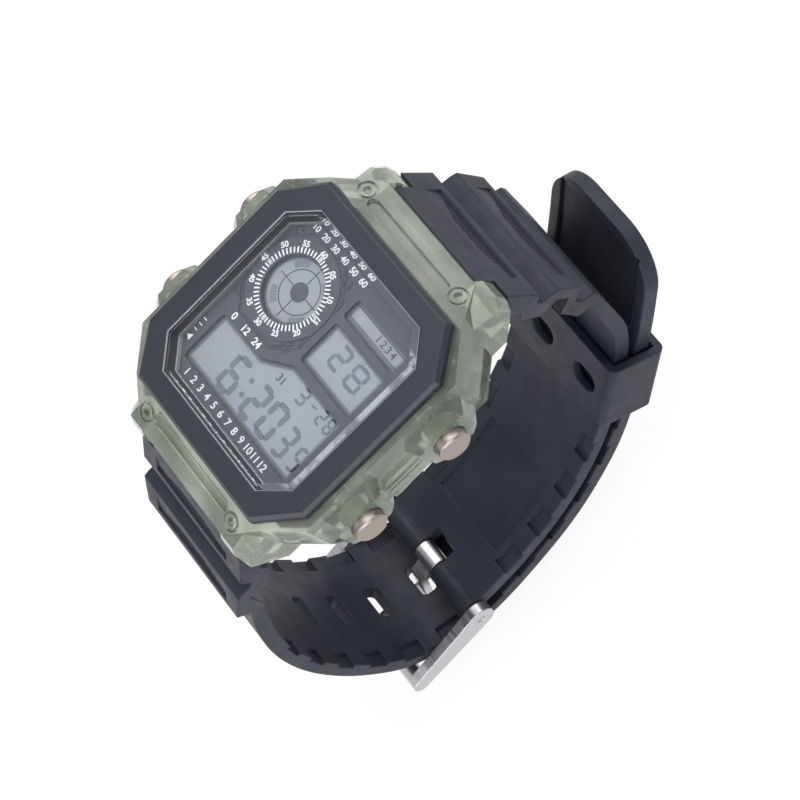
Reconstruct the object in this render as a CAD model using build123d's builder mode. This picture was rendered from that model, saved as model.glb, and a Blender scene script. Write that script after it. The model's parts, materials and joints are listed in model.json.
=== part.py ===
from build123d import *
from math import atan2, cos, degrees, hypot, radians, sin, sqrt
import os

# A digital wristwatch in a clear resin case, with its resin strap buckled into a loop.
# The origin is at the middle of the case back. +X points to 3 o'clock, +Y to 12 o'clock
# and +Z out of the dial. Sizes are in millimetres and angles in degrees.

# General fits
OVERRUN = 1.0              # how far a cut runs past what it cuts
GLUE_GAP = 0.05            # a film of glue or air between two flat inner pieces
RUNNING_FIT = 0.05         # radial clearance of a pin that turns or slides
LOOSE_FIT = 0.2            # clearance round a piece that drops into a pocket

# Case, as eight-sided outlines at three levels
CASE_DEPTH = 10.3          # from the rim at the back to the seat of the bezel plate
CASE_WIDE_LEVEL = 4.5      # height of the widest outline above the rim
CASE_HALF_WIDTH = 17.6
CASE_HALF_LENGTH = 20.2
CASE_CORNER = 8.6
CASE_TOP_HALF_WIDTH = 17.2
CASE_TOP_CORNER = 8.5
CASE_RIM_HALF_WIDTH = 16.0
CASE_RIM_HALF_LENGTH = 19.6
CASE_RIM_CORNER = 8.0
END_SLOPE_LENGTH = 4.2     # the last stretch of the top slopes down towards the strap
END_SLOPE_DROP = 2.3
CAVITY_HALF = 13.6
CAVITY_CORNER = 5.6
LEDGE_THICKNESS = 0.5      # the ledge that carries the crystal
LEDGE_HALF_WIDTH = 12.3
LEDGE_HALF_LENGTH = 12.1
LEDGE_CORNER = 3.0
MOUTH_WIDTH = 0.5          # the step round the cavity that holds the back gasket
MOUTH_DEPTH = 0.5

# Lugs and the decoration of the case's ends
LUG_GAP = 16.7             # between the two lugs of one end
LUG_WIDTH = 4.1
LUG_OVERHANG = 1.0         # how far a lug's tip stands beyond the case's end
LUG_DEPTH = 5.6            # how far its root reaches back into the case
LUG_TOP = 9.9
LUG_NOSE_HEIGHT = 6.5
LUG_NOSE_SETBACK = 0.3
LUG_BEVEL = 1.5            # the top slants down by this much over its outer side
LUG_SIDE_SETBACK = 0.5     # and the tip draws back there
LUG_UNDERCUT = 3.2         # the lower corner of the tip is cut by this much inwards
LUG_CHIN = 4.4             # and by this much upwards
STRAP_POCKET_LENGTH = 3.8  # the strap's root reaches this far under the case's end
STRAP_POCKET_HEIGHT = 7.2
CHANNEL_LENGTH = 15.4      # the shallow channel along each end
CHANNEL_WIDTH = 1.5
CHANNEL_DEPTH = 0.5
CHANNEL_SETBACK = 2.6      # from the case's end
RING_RADIUS = 1.25         # the round dimple near each corner
RING_WIDTH = 0.3
RING_PIT_RADIUS = 0.5
RING_DEPTH = 0.4
RING_X = 9.0
RING_SETBACK = 2.1         # from the case's end

# Push buttons
BUTTON_Y = 6.5
BUTTON_Z = 6.5
BUTTON_TRAVEL = 0.8
BUTTON_OVERHANG = 3.05     # how far the outer face stands beyond the case's side
HEAD_RADIUS = 2.05
HEAD_LENGTH = 2.05
HEAD_CHAMFER = 0.22
HEAD_PROUD = 1.25          # how far the head stands out of its boss
STEM_RADIUS = 0.75
STEM_END = 12.75
SPRING_ROOM = 0.6          # what the pressed spring keeps under the head
BOSS_ROOT = 14.6
BOSS_HALF_WIDTH = 3.2      # the boss's face, as an eight-sided outline
BOSS_HALF_HEIGHT = 2.75
BOSS_CORNER = 1.1
BOSS_ROOT_HALF_WIDTH = 6.0
BOSS_ROOT_HALF_HEIGHT = 3.6
BOSS_ROOT_CORNER = 1.5
SEAL_PLACE = 15.5
SEAL_WIRE = 0.2            # radius of the seal's round section
SEAL_FIT = 0.02
CLIP_THICKNESS = 0.3
CLIP_RADIUS = 1.4
CLIP_NECK = 0.5            # radius of the stem's neck that the clip snaps on
CLIP_OPENING = 0.8
SPRING_TURNS = 3
SPRING_WIRE = 0.18
SPRING_RADIUS = 1.3
RAIL_LENGTH = 5.6          # the ribbed rail between the two buttons of one side
RAIL_FACE = 18.3
RAIL_HEIGHT = 2.6
RAIL_GROOVE = 0.3
RAIL_GROOVES = 2

# Bezel plate and crystal
BEZEL_THICKNESS = 1.4
BEZEL_HALF_WIDTH = 16.3
BEZEL_HALF_LENGTH = 15.85
BEZEL_CORNER_X = 4.4
BEZEL_CORNER_Y = 5.3
BEZEL_EDGE = 0.45
CRYSTAL_THICKNESS = 2.25
CRYSTAL_HALF_WIDTH = 13.1
CRYSTAL_HALF_LENGTH = 12.95
CRYSTAL_CORNER = 3.3
CRYSTAL_EDGE = 0.7
CRYSTAL_SEAT = 0.75        # depth of the pocket in the case
GASKET_THICKNESS = 0.2

# Dial and display
DIAL_THICKNESS = 0.5
SUBDIAL_X = -6.1
SUBDIAL_Y = 4.4
SUBDIAL_WINDOW = 4.15
LOWER_WINDOW_HALF_WIDTH = 10.5
LOWER_WINDOW_BOTTOM = -10.3
LOWER_WINDOW_TOP = -1.1
LOWER_WINDOW_STEP = 2.4    # the left part of the window is this much lower
LOWER_WINDOW_STEP_X = -2.9
LOWER_WINDOW_SLANT = 3.8
RIGHT_WINDOW_LEFT = 0.8
RIGHT_WINDOW_BOTTOM = -0.1
RIGHT_WINDOW_TOP = 5.9
STRIP_WINDOW_BOTTOM = 6.8
STRIP_WINDOW_TOP = 9.5
WINDOW_ROUNDING = 0.6
LCD_THICKNESS = 1.1
LCD_HALF_WIDTH = 10.9
LCD_HALF_LENGTH = 11.6
LCD_CORNER = 2.3
GUIDE_THICKNESS = 0.6
GUIDE_HALF_WIDTH = 10.0
GUIDE_HALF_LENGTH = 9.4
LAMP_LENGTH = 1.6
LAMP_WIDTH = 0.8
CONNECTOR_LENGTH = 16.0
CONNECTOR_WIDTH = 1.4
CONNECTOR_Y = 10.6

# Module frame, board and battery
FRAME_WALL = 0.7
FRAME_FLOOR = 0.6
FRAME_FOOT = 1.6           # from the back plate up to the frame's lower edge
BOARD_THICKNESS = 0.8
BOARD_SCREW_PLACE = 8.8
BOARD_SCREW_RADIUS = 0.4
BOARD_SCREW_HEAD = 0.8
BOARD_SCREW_HEAD_HEIGHT = 0.4
FLOOR_OPENING_X = 8.0      # half sizes of the opening over the chip
FLOOR_OPENING_Y = 7.0
NOTCH_WIDTH = 3.8          # the notches for the button stems
NOTCH_START = 11.3         # where they start in the frame
BOARD_NOTCH_START = 11.9   # and in the board
CONTACT_PLACE = 11.6
CONTACT_THICKNESS = 0.15
CONTACT_FOOT = 1.4
CONTACT_WIDTH = 1.6
CONTACT_HEIGHT = 1.8
CHIP_SIDE = 6.0
CHIP_HEIGHT = 0.6
CAPACITOR_LENGTH = 1.6
CAPACITOR_WIDTH = 0.8
CAPACITOR_HEIGHT = 0.5
CAPACITOR_X = 6.0
CAPACITOR_Y = 5.0
QUARTZ_RADIUS = 1.0
QUARTZ_LENGTH = 6.0
QUARTZ_PLACE = 12.2        # along the diagonal from the middle
BATTERY_RADIUS = 10.0
BATTERY_THICKNESS = 2.5
BATTERY_STEP = 0.35
CLAMP_THICKNESS = 0.3
CLAMP_WIDTH = 6.0
CLAMP_HALF_LENGTH = 11.9
INSULATOR_RADIUS = 9.0
INSULATOR_THICKNESS = 0.1
PIEZO_RADIUS = 6.5
PIEZO_THICKNESS = 0.3
PIEZO_PLACE = 5.2          # along the diagonal towards 7 o'clock
PAD_WIDTH = 2.2
PAD_LENGTH = 16.0
BUZZER_SPRING_PLACE = 10.85
BUZZER_SPRING_RADIUS = 0.55
BUZZER_SPRING_WIRE = 0.18
BUZZER_SPRING_TURNS = 5

# Case back
BACK_THICKNESS = 0.9
BACK_SINK = 0.4            # how far the plate sits inside the case
BACK_HALF_WIDTH = 15.0
BACK_HALF_LENGTH = 15.3
BACK_CORNER = 3.9
BACK_EDGE = 0.25
SCREW_PLACE = 12.1
SCREW_HEAD_RADIUS = 1.15
SCREW_HEAD_HEIGHT = 0.45
SCREW_RADIUS = 0.6
SCREW_LENGTH = 3.4
SCREW_SLOT = 0.35

# Strap, measured along its middle line from the lug pin, and outwards from that line
PIN_SETBACK = 2.2          # from the lug's tip to the pin
PIN_Z = 3.2
PIN_RADIUS = 0.9
PIN_TIP_RADIUS = 0.45
PIN_TIP_LENGTH = 1.5
STRAP_THICKNESS = 2.0
STRAP_HALF_WIDTH = 10.6
STRAP_NARROW_HALF_WIDTH = 9.4
STRAP_TAPER_START = -0.5
STRAP_TAPER_END = -10.0
NECK_GAP = 0.3             # between the strap and the lugs
NECK_DROP = 0.8            # the strap widens again this far under the lugs
EYE_RADIUS = 2.1           # the rolled end round the lug's pin
BAR_EYE_RADIUS = 1.5       # the rolled end round the buckle's bar
UPPER_LENGTH = 80.5
UPPER_HEADING = -67.0
UPPER_RUN_shares = ((0.099, 0.0), (0.155, -15.0), (0.162, -43.0), (0.162, -8.0), (0.422, -50.0))
LOWER_SIDE_LENGTH = 37.4
LOWER_HEADING = -123.5
LOWER_RUN_shares = ((0.294, 0.0), (0.706, 36.5))
BAR_LAP = 3.9              # between the middle lines of the two layers, at the buckle
KEEPER_LAP = 3.1          # the same, at the keeper
LAP_shares = ((0.38, 0.08), (0.72, 0.4))
TAIL_LENGTH = 22.8
TAIL_TURN = 7.5
TAIL_ROUNDING = 6.4
SHORTEST_RUN = 0.001       # shorter stretches of a line are left out

# Ribs and hollows of the strap's stiff root
ROOT_TOP = 3.3             # the root reaches this far back beyond the pin
ROOT_THICKNESS = 1.7
UPPER_RIBS = 3
LOWER_RIBS = 2
RIB_RISES = (2.8, 3.1, 2.3)
RIB_BEVELS = (0.15, 0.6, 0.4)
RIB_PITCH = 8.2
FIRST_GROOVE = 6.7
GROOVE_WIDTH = 1.2
GROOVE_FLOORS = (1.3, 0.8)
GROOVE_SLOPE = 0.8
UPPER_RIB_END = 17.6       # where the last rib starts to run out
UPPER_ROOT_END = 24.0
LOWER_RIB_END = 13.2
LOWER_ROOT_END = 14.6
LAND_DEPTH = 1.2           # the lands stand this far inwards
LAND_BEFORE = 1.6          # and reach this far before and behind each groove
LAND_BEHIND = 2.2
HOLLOW_SLOPE = 1.0
FIRST_HOLLOW_HEIGHT = 0.1
PANELS = 2                 # sunk wedges on the faces of the first ribs
PANEL_LENGTH = 15.2
PANEL_WIDTH = 2.8
PANEL_DEPTH = 0.35
PANEL_SETBACK = 1.2        # from the rib's edge to the deep side of the wedge

# Holes and pockets of the strap
HOLE_PITCH = 7.2
HOLE_LENGTH = 4.8
HOLE_WIDTH = 2.3
HOLES_BEFORE = 3
HOLES_AFTER = 4
TONGUE_HOLE_BACK = 3.6     # from the bar's station to the hole in use
POCKET_PITCH = 6.8
POCKET_LENGTH = 3.4
POCKET_WIDTH = 2.3
POCKET_DEPTH = 0.5
UPPER_POCKET_START = 45.0
UPPER_POCKETS = 5
LOWER_POCKET_START = 30.0
LOWER_POCKETS = 13
FIELD_START = 60.5         # the wide sunk field inside the upper strap
FIELD_END = 73.0
FIELD_HALF_WIDTH = 6.2
FIELD_DEPTH = 0.35
TAIL_FIELD_START = 7.5     # the sunk field inside the tail, from the middle of the keeper
TAIL_FIELD_MARGIN = 1.7    # its rim along the sides and the tip

# Keeper
KEEPER_STATION = 39.2
KEEPER_LENGTH = 10.5
KEEPER_WALL = 1.05
KEEPER_SIDE_GAP = 0.5
KEEPER_INNER_GAP = 0.6
KEEPER_OUTER_GAP = 0.35
KEEPER_ROUNDING = 1.0
KEEPER_HOLE_LENGTH = 4.4
KEEPER_HOLE_WIDTH = 3.2
KEEPER_HOLE_X = 2.1        # the middle of the pair
KEEPER_HOLE_PITCH = 8.6

# Buckle
BUCKLE_REACH = 12.1        # from the bar to the front bar
BUCKLE_ANGLE = -170.5
BUCKLE_ARM_THICKNESS = 1.4
BUCKLE_ARM_RADIUS = 1.9
BUCKLE_NOSE_RADIUS = 1.25
BUCKLE_SIDE_GAP = 0.45
BAR_RADIUS = 0.8
BAR_TIP_RADIUS = 0.5
TONGUE_THICKNESS = 1.0
TONGUE_WIDTH = 2.4
TONGUE_BARREL_RADIUS = 1.45
TONGUE_BARREL_WIDTH = 3.6
TONGUE_OVERHANG = 1.8      # past the middle of the front bar
TONGUE_HOLE_GAP = 0.6      # from the strap's faces to the blade's bends
TONGUE_GAP = 0.12          # from the front bar to the tongue that lies on it
SLOT_WIDTH = 4.0           # the slot in the upper strap for the tongue's barrel
SLOT_LENGTH = 3.2

# Heights that follow from the sizes above
rim_z = BACK_THICKNESS - BACK_SINK
seat_z = rim_z + CASE_DEPTH
ledge_z = seat_z - CRYSTAL_SEAT
cavity_z = ledge_z - LEDGE_THICKNESS
crystal_z = ledge_z + GASKET_THICKNESS
dial_z = cavity_z - DIAL_THICKNESS
lcd_z = dial_z - GLUE_GAP - LCD_THICKNESS
guide_z = lcd_z - GLUE_GAP - GUIDE_THICKNESS
floor_z = guide_z - GLUE_GAP - FRAME_FLOOR
board_z = floor_z - LOOSE_FIT - BOARD_THICKNESS
battery_z = board_z - LOOSE_FIT - BATTERY_THICKNESS
clamp_z = battery_z - GLUE_GAP - CLAMP_THICKNESS
frame_z = BACK_THICKNESS + FRAME_FOOT
frame_half = CAVITY_HALF - LOOSE_FIT
board_half = frame_half - FRAME_WALL - LOOSE_FIT
lug_half = LUG_GAP / 2
lug_reach = CASE_HALF_LENGTH + LUG_OVERHANG
pin_y = lug_reach - PIN_SETBACK
button_face = CASE_HALF_WIDTH + BUTTON_OVERHANG
boss_face = button_face - HEAD_PROUD
head_inner = button_face - HEAD_LENGTH
well_floor = head_inner - BUTTON_TRAVEL - SPRING_ROOM
neck_half = lug_half - NECK_GAP
half_strap = STRAP_THICKNESS / 2

os.makedirs("parts", exist_ok=True)


def octagon(half_x, half_y, corner_x, corner_y):
    """Corners of a rectangle whose own corners are cut off."""
    quarter = [(half_x, half_y - corner_y), (half_x - corner_x, half_y)]
    upper = quarter + [(-x, y) for x, y in reversed(quarter)]
    return upper + [(-x, -y) for x, y in upper]


class StrapLine:
    """A strap's middle line in the YZ plane, made of straight runs and arcs that meet smoothly."""

    def __init__(self, y, z, heading, outward):
        self.runs = []
        self.tip = (y, z, heading)
        self.outward = outward
        self.length = 0.0

    def run(self, length, turn):
        """Go on for a length while the heading turns."""
        self.runs.append((self.length, length, turn, self.tip))
        self.tip = advance(self.tip, length, turn)
        self.length += length

    def reach(self, y, z, heading):
        """Go on to a point and a heading by two arcs with equal tangents."""
        y0, z0, heading0 = self.tip
        first = (cos(radians(heading0)), sin(radians(heading0)))
        last = (cos(radians(heading)), sin(radians(heading)))
        gap = (y - y0, z - z0)
        along = gap[0] * (first[0] + last[0]) + gap[1] * (first[1] + last[1])
        spread = 2 * (1 - first[0] * last[0] - first[1] * last[1])
        tangent = (sqrt(along ** 2 + spread * (gap[0] ** 2 + gap[1] ** 2)) - along) / spread
        middle = [(a + b + tangent * (c - d)) / 2 for a, b, c, d in zip((y0, z0), (y, z), first, last)]
        for goal in (middle, (y, z)):
            y1, z1, heading1 = self.tip
            chord = hypot(goal[0] - y1, goal[1] - z1)
            half = (degrees(atan2(goal[1] - z1, goal[0] - y1)) - heading1 + 180) % 360 - 180
            self.run(chord * radians(half) / sin(radians(half)), 2 * half)

    def at(self, station):
        """The point and heading at a station."""
        chosen = [r for r in self.runs if r[0] <= station] or self.runs[:1]
        start, length, turn, tip = chosen[-1]
        share = (station - start) / length
        return advance(tip, station - start, turn * share)

    def spot(self, station, height):
        """The point at a station and a height outwards from the middle line."""
        y, z, heading = self.at(station)
        rise = height * self.outward
        return y - rise * sin(radians(heading)), z + rise * cos(radians(heading))

    def plane(self, station, height):
        """A plane across the width, facing outwards."""
        y, z = self.spot(station, height)
        heading = radians(self.at(station)[2])
        normal = (0, -self.outward * sin(heading), self.outward * cos(heading))
        return Plane(origin=(0, y, z), x_dir=(1, 0, 0), z_dir=normal)

    def trace(self, start, end, height):
        """Draw the line that runs at a height from one station to another."""
        cuts = [r[0] for r in self.runs if start + SHORTEST_RUN < r[0] < end - SHORTEST_RUN]
        for a, b in zip([start] + cuts, cuts + [end]):
            middle = (a + b) / 2
            turn = [r[2] for r in self.runs if r[0] <= middle][-1]
            ends = [self.spot(s, height) for s in (a, middle, b)]
            if turn:
                ThreePointArc(*ends)
            else:
                Line(ends[0], ends[2])

    def band(self, start, end, low, high):
        """Draw the closed outline between two heights."""
        self.trace(start, end, low)
        self.trace(start, end, high)
        for station in (start, end):
            Line(self.spot(station, low), self.spot(station, high))


def advance(tip, length, turn):
    """The point and heading after an arc of a given length."""
    y, z, heading = tip
    half = radians(turn) / 2
    chord = length * sin(half) / half if turn else length
    angle = radians(heading) + half
    return y + chord * cos(angle), z + chord * sin(angle), heading + turn


# The middle lines of the two straps
upper_line = StrapLine(pin_y, PIN_Z, UPPER_HEADING, 1)
for share, turn in UPPER_RUN_shares:
    upper_line.run(share * UPPER_LENGTH, turn)
bar_y, bar_z, bar_heading = upper_line.tip

lower_line = StrapLine(-pin_y, PIN_Z, LOWER_HEADING, -1)
for share, turn in LOWER_RUN_shares:
    lower_line.run(share * LOWER_SIDE_LENGTH, turn)
lower_line.reach(*upper_line.spot(upper_line.length, BAR_LAP), bar_heading + 180)
bar_station = lower_line.length
for share, gap_share in LAP_shares[::-1] + ((0.0, 0.0),):
    station = KEEPER_STATION + share * (upper_line.length - KEEPER_STATION)
    lap = KEEPER_LAP + gap_share * (BAR_LAP - KEEPER_LAP)
    lower_line.reach(*upper_line.spot(station, lap), upper_line.at(station)[2] + 180)
lower_line.run(TAIL_LENGTH, TAIL_TURN)
tongue_station = bar_station - TONGUE_HOLE_BACK


# Case shell
with BuildPart() as case_shell:
    levels = (
        (0, CASE_RIM_HALF_WIDTH, CASE_RIM_HALF_LENGTH, CASE_RIM_CORNER),
        (CASE_WIDE_LEVEL, CASE_HALF_WIDTH, CASE_HALF_LENGTH, CASE_CORNER),
        (CASE_DEPTH, CASE_TOP_HALF_WIDTH, CASE_HALF_LENGTH, CASE_TOP_CORNER),
    )
    for height, half_x, half_y, corner in levels:
        with BuildSketch(Plane.XY.offset(rim_z + height)):
            Polygon(*octagon(half_x, half_y, corner, corner), align=None)
    loft(ruled=True)
    # Bosses round the buttons and the ribbed rail between them
    rail_depth = RAIL_FACE - BOSS_ROOT
    boss_levels = (
        (BOSS_ROOT, BOSS_ROOT_HALF_WIDTH, BOSS_ROOT_HALF_HEIGHT, BOSS_ROOT_CORNER),
        (boss_face, BOSS_HALF_WIDTH, BOSS_HALF_HEIGHT, BOSS_CORNER),
    )
    for side in (-1, 1):
        for end in (-1, 1):
            for reach, half_y, half_z, corner in boss_levels:
                boss_plane = Plane(origin=(side * reach, end * BUTTON_Y, BUTTON_Z), x_dir=(0, 1, 0),
                                   z_dir=(side, 0, 0))
                with BuildSketch(boss_plane):
                    Polygon(*octagon(half_y, half_z, corner, corner), align=None)
            loft(ruled=True)
        with Locations((side * (RAIL_FACE - rail_depth / 2), 0, rim_z + CASE_WIDE_LEVEL)):
            Box(rail_depth, RAIL_LENGTH, RAIL_HEIGHT)
        for n in range(RAIL_GROOVES):
            height = rim_z + CASE_WIDE_LEVEL + ((n + 0.5) / RAIL_GROOVES - 0.5) * RAIL_HEIGHT
            with Locations((side * RAIL_FACE, 0, height)):
                Box(2 * RAIL_GROOVE, RAIL_LENGTH - 2 * RAIL_GROOVE, RAIL_GROOVE, mode=Mode.SUBTRACT)
    # Lugs, one at each corner
    lug_root = CASE_HALF_LENGTH - LUG_DEPTH
    lug_levels = (
        (0, 0, 0),
        (LUG_WIDTH - LUG_BEVEL, 0, 0),
        (LUG_WIDTH, LUG_BEVEL, LUG_SIDE_SETBACK),
    )
    for side in (-1, 1):
        for end in (-1, 1):
            for across, drop, setback in lug_levels:
                tip = lug_reach - setback
                with BuildSketch(Plane.YZ.offset(side * (lug_half + across))):
                    Polygon(
                        (end * lug_root, rim_z), (end * (tip - LUG_UNDERCUT), rim_z),
                        (end * tip, rim_z + LUG_CHIN),
                        (end * (tip - LUG_NOSE_SETBACK), rim_z + LUG_NOSE_HEIGHT - drop),
                        (end * (CASE_HALF_LENGTH - setback), seat_z - END_SLOPE_DROP - drop),
                        (end * lug_root, LUG_TOP - drop), align=None,
                    )
            loft(ruled=True)
    # The flat top and the sloped tops of the two ends
    with Locations((0, 0, seat_z + OVERRUN)):
        Box(2 * button_face, 2 * CASE_HALF_LENGTH, 2 * OVERRUN, mode=Mode.SUBTRACT)
    slope_start = CASE_HALF_LENGTH - END_SLOPE_LENGTH
    slope_low = seat_z - END_SLOPE_DROP
    cut_reach = lug_reach + OVERRUN
    for end in (-1, 1):
        with BuildSketch(Plane.YZ):
            Polygon(
                (end * slope_start, seat_z), (end * CASE_HALF_LENGTH, slope_low),
                (end * cut_reach, slope_low), (end * cut_reach, seat_z + OVERRUN),
                (end * slope_start, seat_z + OVERRUN), align=None,
            )
        extrude(amount=CASE_HALF_WIDTH + OVERRUN, both=True, mode=Mode.SUBTRACT)
    # The space between the lugs for the strap's root
    pocket_start = CASE_HALF_LENGTH - STRAP_POCKET_LENGTH
    pocket_length = cut_reach - pocket_start
    pocket_top = rim_z + STRAP_POCKET_HEIGHT
    for end in (-1, 1):
        with Locations((0, end * (pocket_start + pocket_length / 2), (pocket_top - OVERRUN) / 2)):
            Box(LUG_GAP, pocket_length, pocket_top + OVERRUN, mode=Mode.SUBTRACT)
    # Cavity, gasket step, ledge and crystal pocket
    with BuildSketch(Plane.XY.offset(rim_z - OVERRUN)):
        Polygon(*octagon(CAVITY_HALF, CAVITY_HALF, CAVITY_CORNER, CAVITY_CORNER), align=None)
    extrude(amount=cavity_z - rim_z + OVERRUN, mode=Mode.SUBTRACT)
    with BuildSketch(Plane.XY.offset(BACK_THICKNESS)):
        mouth = CAVITY_HALF + MOUTH_WIDTH
        Polygon(*octagon(mouth, mouth, CAVITY_CORNER, CAVITY_CORNER), align=None)
    extrude(amount=MOUTH_DEPTH, mode=Mode.SUBTRACT)
    with BuildSketch(Plane.XY.offset(rim_z)):
        Polygon(*octagon(BACK_HALF_WIDTH + RUNNING_FIT, BACK_HALF_LENGTH + RUNNING_FIT,
                         BACK_CORNER, BACK_CORNER), align=None)
    extrude(amount=BACK_SINK, mode=Mode.SUBTRACT)
    with BuildSketch(Plane.XY.offset(cavity_z)):
        Polygon(*octagon(LEDGE_HALF_WIDTH, LEDGE_HALF_LENGTH, LEDGE_CORNER, LEDGE_CORNER), align=None)
    extrude(amount=LEDGE_THICKNESS, mode=Mode.SUBTRACT)
    with BuildSketch(Plane.XY.offset(ledge_z)):
        Polygon(*octagon(CRYSTAL_HALF_WIDTH + RUNNING_FIT, CRYSTAL_HALF_LENGTH + RUNNING_FIT,
                         CRYSTAL_CORNER, CRYSTAL_CORNER), align=None)
    extrude(amount=CRYSTAL_SEAT + OVERRUN, mode=Mode.SUBTRACT)
    # Button wells, stem bores and seal grooves
    for side in (-1, 1):
        steps = (
            (well_floor, boss_face - well_floor + OVERRUN, HEAD_RADIUS + 2 * RUNNING_FIT),
            (CAVITY_HALF - OVERRUN, boss_face - CAVITY_HALF, STEM_RADIUS + RUNNING_FIT),
            (SEAL_PLACE - 1.5 * SEAL_WIRE, 3 * SEAL_WIRE, STEM_RADIUS + 2 * SEAL_WIRE + RUNNING_FIT),
        )
        for start, length, radius in steps:
            with Locations((side * (start + length / 2), BUTTON_Y, BUTTON_Z),
                           (side * (start + length / 2), -BUTTON_Y, BUTTON_Z)):
                Cylinder(radius, length, rotation=(0, 90, 0), mode=Mode.SUBTRACT)
    # Channels and ring dimples on the ends, cut square to the slope
    for end in (-1, 1):
        for x, setback, depth in ((0, CHANNEL_SETBACK, CHANNEL_DEPTH), (-RING_X, RING_SETBACK, RING_DEPTH),
                                  (RING_X, RING_SETBACK, RING_DEPTH)):
            level = slope_low + END_SLOPE_DROP * setback / END_SLOPE_LENGTH
            slope = Plane(origin=(x, end * (CASE_HALF_LENGTH - setback), level), x_dir=(1, 0, 0),
                          z_dir=(0, end * END_SLOPE_DROP, END_SLOPE_LENGTH))
            with BuildSketch(slope):
                if x:
                    Circle(RING_RADIUS)
                    Circle(RING_RADIUS - RING_WIDTH, mode=Mode.SUBTRACT)
                    Circle(RING_PIT_RADIUS)
                else:
                    SlotOverall(CHANNEL_LENGTH, CHANNEL_WIDTH)
            extrude(amount=depth, both=True, mode=Mode.SUBTRACT)
    # Holes for the lug bars and the screws of the back
    for end in (-1, 1):
        with BuildSketch(Plane.YZ):
            with Locations((end * pin_y, PIN_Z)):
                Circle(PIN_TIP_RADIUS + RUNNING_FIT)
        extrude(amount=lug_half + PIN_TIP_LENGTH, both=True, mode=Mode.SUBTRACT)
    with Locations(Plane.XY.offset(BACK_THICKNESS + SCREW_LENGTH / 2)):
        with GridLocations(2 * SCREW_PLACE, 2 * SCREW_PLACE, 2, 2):
            Cylinder(SCREW_RADIUS + SEAL_FIT, SCREW_LENGTH, mode=Mode.SUBTRACT)
case_shell.part.label = "case_shell"
export_step(case_shell.part, "parts/case_shell.step")

# Bezel plate
with BuildPart() as bezel_plate:
    with BuildSketch(Plane.XY.offset(seat_z)):
        Polygon(*octagon(BEZEL_HALF_WIDTH, BEZEL_HALF_LENGTH, BEZEL_CORNER_X, BEZEL_CORNER_Y), align=None)
        Polygon(*octagon(CRYSTAL_HALF_WIDTH + RUNNING_FIT, CRYSTAL_HALF_LENGTH + RUNNING_FIT,
                         CRYSTAL_CORNER, CRYSTAL_CORNER), align=None, mode=Mode.SUBTRACT)
    extrude(amount=BEZEL_THICKNESS)
    chamfer(bezel_plate.faces().sort_by(Axis.Z)[-1].outer_wire().edges(), BEZEL_EDGE)
bezel_plate.part.label = "bezel_plate"
export_step(bezel_plate.part, "parts/bezel_plate.step")

# Crystal
with BuildPart() as crystal:
    with BuildSketch(Plane.XY.offset(crystal_z)):
        Polygon(*octagon(CRYSTAL_HALF_WIDTH, CRYSTAL_HALF_LENGTH, CRYSTAL_CORNER, CRYSTAL_CORNER),
                align=None)
    extrude(amount=CRYSTAL_THICKNESS)
    chamfer(crystal.faces().sort_by(Axis.Z)[-1].edges(), CRYSTAL_EDGE)
crystal.part.label = "crystal"
export_step(crystal.part, "parts/crystal.step")

# Gasket under the crystal
with BuildPart() as crystal_gasket:
    with BuildSketch(Plane.XY.offset(ledge_z)):
        Polygon(*octagon(CRYSTAL_HALF_WIDTH, CRYSTAL_HALF_LENGTH, CRYSTAL_CORNER, CRYSTAL_CORNER),
                align=None)
        Polygon(*octagon(LEDGE_HALF_WIDTH, LEDGE_HALF_LENGTH, LEDGE_CORNER, LEDGE_CORNER),
                align=None, mode=Mode.SUBTRACT)
    extrude(amount=GASKET_THICKNESS)
crystal_gasket.part.label = "crystal_gasket"
export_step(crystal_gasket.part, "parts/crystal_gasket.step")

# Dial plate with the windows of the display
with BuildPart() as dial_plate:
    with BuildSketch(Plane.XY.offset(dial_z)) as dial_outline:
        Polygon(*octagon(frame_half, frame_half, CAVITY_CORNER, CAVITY_CORNER), align=None)
        with Locations((SUBDIAL_X, SUBDIAL_Y)):
            Circle(SUBDIAL_WINDOW, mode=Mode.SUBTRACT)
        with BuildSketch(mode=Mode.SUBTRACT) as windows:
            step_y = LOWER_WINDOW_TOP - LOWER_WINDOW_STEP
            right = LOWER_WINDOW_HALF_WIDTH
            Polygon(
                (-right, LOWER_WINDOW_BOTTOM), (right, LOWER_WINDOW_BOTTOM), (right, LOWER_WINDOW_TOP),
                (LOWER_WINDOW_STEP_X + LOWER_WINDOW_SLANT, LOWER_WINDOW_TOP),
                (LOWER_WINDOW_STEP_X, step_y), (-right, step_y), align=None,
            )
            for low, high in ((RIGHT_WINDOW_BOTTOM, RIGHT_WINDOW_TOP),
                              (STRIP_WINDOW_BOTTOM, STRIP_WINDOW_TOP)):
                with Locations(((RIGHT_WINDOW_LEFT + right) / 2, (low + high) / 2)):
                    Rectangle(right - RIGHT_WINDOW_LEFT, high - low)
            fillet(windows.vertices(), WINDOW_ROUNDING)
    extrude(amount=DIAL_THICKNESS)
dial_plate.part.label = "dial_plate"
export_step(dial_plate.part, "parts/dial_plate.step")

# Display panel, light guide and lamp
with BuildPart() as lcd_panel:
    with BuildSketch(Plane.XY.offset(lcd_z)):
        Polygon(*octagon(LCD_HALF_WIDTH, LCD_HALF_LENGTH, LCD_CORNER, LCD_CORNER), align=None)
    extrude(amount=LCD_THICKNESS)
lcd_panel.part.label = "lcd_panel"
export_step(lcd_panel.part, "parts/lcd_panel.step")

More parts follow.
